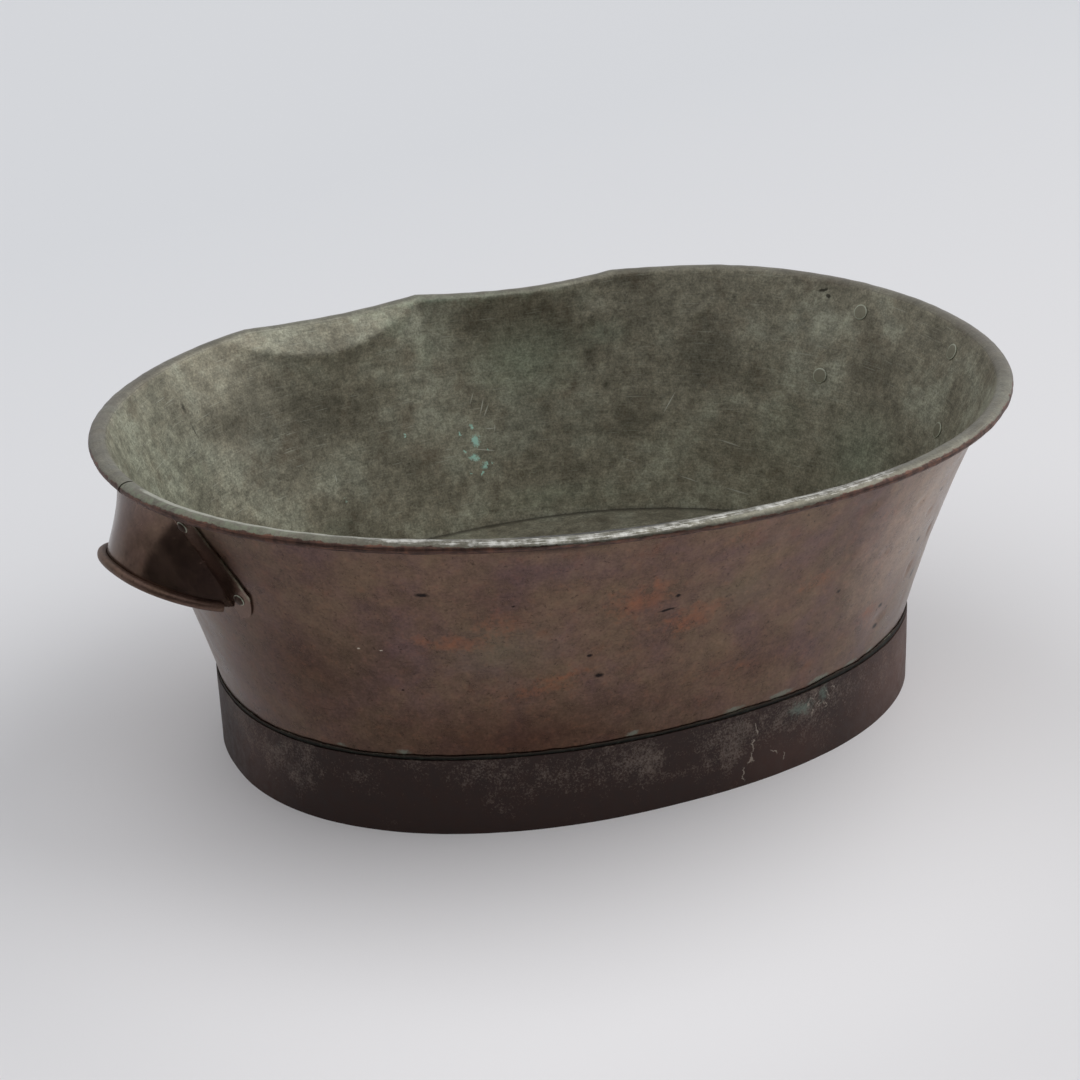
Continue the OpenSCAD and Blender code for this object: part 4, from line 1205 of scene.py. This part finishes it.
class TUB_OT_foot(TubOperator, bpy.types.Operator):
    """Makes the iron foot band and the solder along its top edge"""
    bl_idname = "tub.foot"
    bl_label = "Foot"

    columns = 640
    band_rows = 26
    solder_rows = 10
    # The solder's half height, as a share of the joint's, and the turn and half angle where it is thickest
    solder_share = 0.36
    solder_thickest = (312.0, 26.0)

    def execute(self, context):
        shape, colours = self.begin(context)
        self.band(shape, colours)
        self.solder(shape)
        return {"FINISHED"}

    def band(self, shape, colours):
        inset = BAND_THICKNESS / 2

        def lay(u, v):
            points = oval(FULL_TURN * u, shape.foot_a - inset, shape.foot_b - inset, FOOT_SQUARENESS)
            points[:, 2] = shape.foot_z * v
            out = shape.outward(FULL_TURN * u)
            wave = 0.3 * uneven(points, 60, 4.0) + 0.12 * uneven(points, 18, 8.0)
            points = points + out * wave[:, None]
            points[:, 2] += np.where(v > 0.98, 0.5 * uneven(points, 35, 6.0), 0)
            return shape.place(points)

        piece, u, v = laid_grid("foot_band_iron", self.columns, self.band_rows, lay)
        along, _ = shape.unrolled(FULL_TURN * u, 0)
        lay_uv(piece, along, shape.foot_z * (v - 1) * MM)
        close_up(piece, outwards=True)
        thicken(piece, BAND_THICKNESS * MM)
        smooth(piece, 45)
        dress(piece, "band_iron", ["foot_band"], wrought_iron("Blackened iron strip", colours, shape))

    def solder(self, shape):
        def lay(u, v):
            turn = FULL_TURN * u
            angle = FULL_TURN * v
            low = shape.wall_foot(turn) + shape.along(turn, shape.sheet / 2 + FIT_GAP, FIT_GAP)
            lumps = 0.9 + 0.25 * uneven(low, 9, 1.0) + 0.4 * uneven(low, 34, 2.0)
            height = SEAM_HEIGHT * self.solder_share * lumps * (1 + 0.8 * bite(turn, *self.solder_thickest))
            lean = 0.35 * (0.5 + 0.5 * sin(angle)) * height
            out = 0.7 + 0.8 * lumps * cos(angle) + lean
            return shape.place(low + shape.along(turn, out, height * (0.9 + sin(angle))))

        piece, u, v = laid_grid("foot_solder", self.columns, self.solder_rows, lay)
        paint(piece, "upper_edge", np.stack([np.clip(2.2 * sin(FULL_TURN * v) - 0.8, 0, 1)] * 3, 1))
        close_up(piece, outwards=True)
        smooth(piece, 60)
        dress(piece, "solder", ["foot_seam"], old_solder("Dirty old solder"))


class TUB_OT_handles(TubOperator, bpy.types.Operator):
    """Makes the two pocket handles with their flanges and wired beads"""
    bl_idname = "tub.handles"
    bl_label = "Handles"

    columns = 176
    rows = 52
    bead_columns = 120
    bead_rows = 20
    # How far the bead runs towards each fold, and where round its wire it starts and ends, in degrees
    bead_reach = 0.95
    bead_start = 182.0
    bead_end = -125.0

    def execute(self, context):
        shape, colours = self.begin(context)
        copper = patinated_copper("Patinated handle copper", shape, colours, False, 0.85, 0.75)
        grime = joint_grime("Joint grime")
        for name, end, node in (("handle_left_copper", HALF_TURN, "handle_left"),
                                ("handle_right_copper", 0.0, "handle_right")):
            apron = self.apron(name, shape, end)
            bead = self.bead(name + "_bead", shape, end)
            piece = join([apron, bead], name)
            smooth(piece, 50)
            dress(piece, "handle_copper", [node], copper, grime)
        return {"FINISHED"}

    def apron(self, name, shape, end):
        piece, u, v = laid_grid(name, self.columns, self.rows,
                                lambda u, v: shape.place(shape.handle_middle(end, 4 * u - 2, v)))
        q = np.abs(4 * u - 2)
        # A painted highlight along the flange's cut edge, a dotted line along the fold, and painted light
        # over the whole flange
        edge = np.clip((q - 1.86) / 0.06, 0, 1)
        fold = np.clip(1 - np.abs(q - 1.03) / 0.05, 0, 1) * np.clip((v - 0.35) / 0.1, 0, 1)
        paint(piece, "flange_marks", np.stack([edge, fold, np.clip((q - 0.98) / 0.06, 0, 1)], 1))
        paint(piece, "bead_level", np.zeros((len(u), 3)))
        close_up(piece, flip=self.faces_wall(piece, shape, end))
        piece.data.materials.append(None)
        piece.data.materials.append(None)
        thicken(piece, shape.sheet * MM, rim_material=1)
        return piece

    def faces_wall(self, piece, shape, end):
        """True if the handle's faces look at the wall."""
        side = -1 if end == HALF_TURN else 1
        return sum(face.normal.x * side for face in list(piece.data.polygons)[::37]) < 0

    def bead(self, name, shape, end):
        def lay(u, v):
            q = self.bead_reach * (2 * u - 1)
            angle = self.bead_start + (self.bead_end - self.bead_start) * v
            return shape.place(shape.bead(end, q, angle, BEAD_R - shape.sheet / 2))

        piece, u, v = laid_grid(name, self.bead_columns, self.bead_rows, lay)
        paint(piece, "flange_marks", np.zeros((len(u), 3)))
        paint(piece, "bead_level", np.ones((len(u), 3)))
        close_up(piece)
        thicken(piece, shape.sheet * MM)
        return piece


class TUB_OT_rivets(TubOperator, bpy.types.Operator):
    """Models one hammered rivet and sets four in each handle"""
    bl_idname = "tub.rivets"
    bl_label = "Rivets"

    shank_r = 2.4
    head_r = 4.5
    tail_r = 6.5
    # The bends of the profile, each with a share of the radius above and a height in millimetres
    tail_bends = ((0.76, 0.0), (0.9, 0.08), (1.0, 0.24), (1.0, 0.48), (0.97, 0.8))
    head_bends = ((1.0, 0.0), (1.03, 0.25), (0.97, 0.55), (0.8, 0.62), (0.76, 1.25), (0.62, 1.85),
                  (0.36, 2.25), (0.12, 2.4))

    def execute(self, context):
        shape, _ = self.begin(context)
        copper = rivet_copper("Hammered rivet copper")
        pattern = self.pattern(shape)
        for name, end, node in (("handle_left_rivet_set", HALF_TURN, "handle_left_rivets"),
                                ("handle_right_rivet_set", 0.0, "handle_right_rivets")):
            copies = []
            for half, drop in RIVETS:
                for side in (-half, half):
                    copy = pattern.copy()
                    copy.data = pattern.data.copy()
                    context.scene.collection.objects.link(copy)
                    self.set_in(copy, shape, end, side, drop)
                    copies.append(copy)
            piece = join(copies, name)
            smooth(piece, 40)
            dress(piece, "rivet_copper", [node], copper)
        bpy.data.objects.remove(pattern)
        return {"FINISHED"}

    def pattern(self, shape):
        """One rivet along Z, the wall's middle at 0: a disc drawn out to a spread tail and a domed head."""
        seat = shape.flange_off + shape.sheet / 2
        tail_height = self.tail_bends[-1][1]
        tail = -shape.sheet / 2 - FIT_GAP - tail_height
        profile = [(self.tail_r * share, tail + height) for share, height in self.tail_bends]
        profile += [(self.shank_r, tail + tail_height), (self.shank_r, seat)]
        profile += [(self.head_r * share, seat + height) for share, height in self.head_bends]
        clear_selection()
        bpy.ops.mesh.primitive_circle_add(vertices=28, radius=profile[0][0] * MM, fill_type="NGON",
                                          calc_uvs=False, location=(0, 0, tail * MM))
        piece = bpy.context.object
        piece.name = "rivet"
        bpy.ops.object.mode_set(mode="EDIT")
        for (radius, height), (new_radius, new_height) in zip(profile, profile[1:]):
            rise = (0, 0, (new_height - height) * MM)
            bpy.ops.mesh.extrude_region_move(TRANSFORM_OT_translate={"value": rise})
            share = new_radius / radius
            bpy.ops.transform.resize(value=(share, share, 1), center_override=(0, 0, 0))
        bpy.ops.mesh.select_all(action="SELECT")
        bpy.ops.mesh.remove_doubles(threshold=0.000001)
        bpy.ops.mesh.normals_make_consistent(inside=False)
        bpy.ops.object.mode_set(mode="OBJECT")
        bpy.ops.object.transform_apply(location=True, rotation=True, scale=True)
        across, depth, height = vertex_places(piece).T
        reach = np.hypot(across, depth) / MM
        head = height > 0
        ring = np.where(head, np.clip((reach / self.head_r - 0.72) / 0.2, 0, 1),
                        np.clip((reach / self.tail_r - 0.77) / 0.1, 0, 1))
        paint(piece, "rivet_form", np.stack([ring, ~head, np.zeros_like(ring)], 1))
        return piece

    def set_in(self, copy, shape, end, side, drop):
        """Moves one rivet's mesh to its hole, squarely to the wall."""
        share = np.array([shape.share_of_height(drop)])
        turn = shape.beside(end, np.array([float(side)]), share)
        out = Vector(shape.wall_normal(turn, share)[0])
        point = Vector(shape.place(shape.wall_at(turn, share, 0))[0])
        upright = out.to_track_quat("Z", "Y").to_matrix().to_4x4()
        # Each rivet of a handle is turned by another angle round itself
        spin = Matrix.Rotation(math.radians(side * 7.0 + drop), 4, "Z")
        copy.data.transform(Matrix.Translation(point) @ upright @ spin)


class TUB_OT_wires(TubOperator, bpy.types.Operator):
    """Gives the iron wires inside the rim and the handles their finish"""
    bl_idname = "tub.wires"
    bl_label = "Wires"

    def execute(self, context):
        _, colours = self.begin(context)
        iron = wrought_iron("Drawn iron wire", colours)
        for name in ("rim_wire", "handle_left_wire", "handle_right_wire"):
            wire = frame["nodes"][name]
            wire.data.materials.clear()
            wire.data.materials.append(iron)
        return {"FINISHED"}


class TUB_PT_panel(bpy.types.Panel):
    """Lists the tub's pieces, sizes and colours"""
    bl_idname = "TUB_PT_panel"
    bl_label = "Oval Copper Tub"
    bl_space_type = "VIEW_3D"
    bl_region_type = "UI"
    bl_category = "Tub"

    def draw(self, context):
        column = self.layout.column(align=True)
        for operator in OPERATORS:
            column.operator(operator.bl_idname)
        for group in (context.scene.tub_sizes, context.scene.tub_colours):
            box = self.layout.box().column()
            for name in group.__annotations__:
                box.prop(group, name)


OPERATORS = (TUB_OT_stage, TUB_OT_bowl, TUB_OT_floor, TUB_OT_foot, TUB_OT_handles, TUB_OT_rivets,
             TUB_OT_wires)
CLASSES = (TubSizes, TubColours) + OPERATORS + (TUB_PT_panel,)


def register():
    for cls in CLASSES:
        bpy.utils.register_class(cls)
    bpy.types.Scene.tub_sizes = bpy.props.PointerProperty(type=TubSizes)
    bpy.types.Scene.tub_colours = bpy.props.PointerProperty(type=TubColours)


def unregister():
    del bpy.types.Scene.tub_colours
    del bpy.types.Scene.tub_sizes
    for cls in reversed(CLASSES):
        bpy.utils.unregister_class(cls)


def main():
    register()
    bpy.ops.tub.stage()
    bpy.ops.tub.bowl()
    bpy.ops.tub.floor()
    bpy.ops.tub.foot()
    bpy.ops.tub.handles()
    bpy.ops.tub.rivets()
    bpy.ops.tub.wires()
    bpy.context.view_layer.update()


if __name__ == "__main__":
    main()
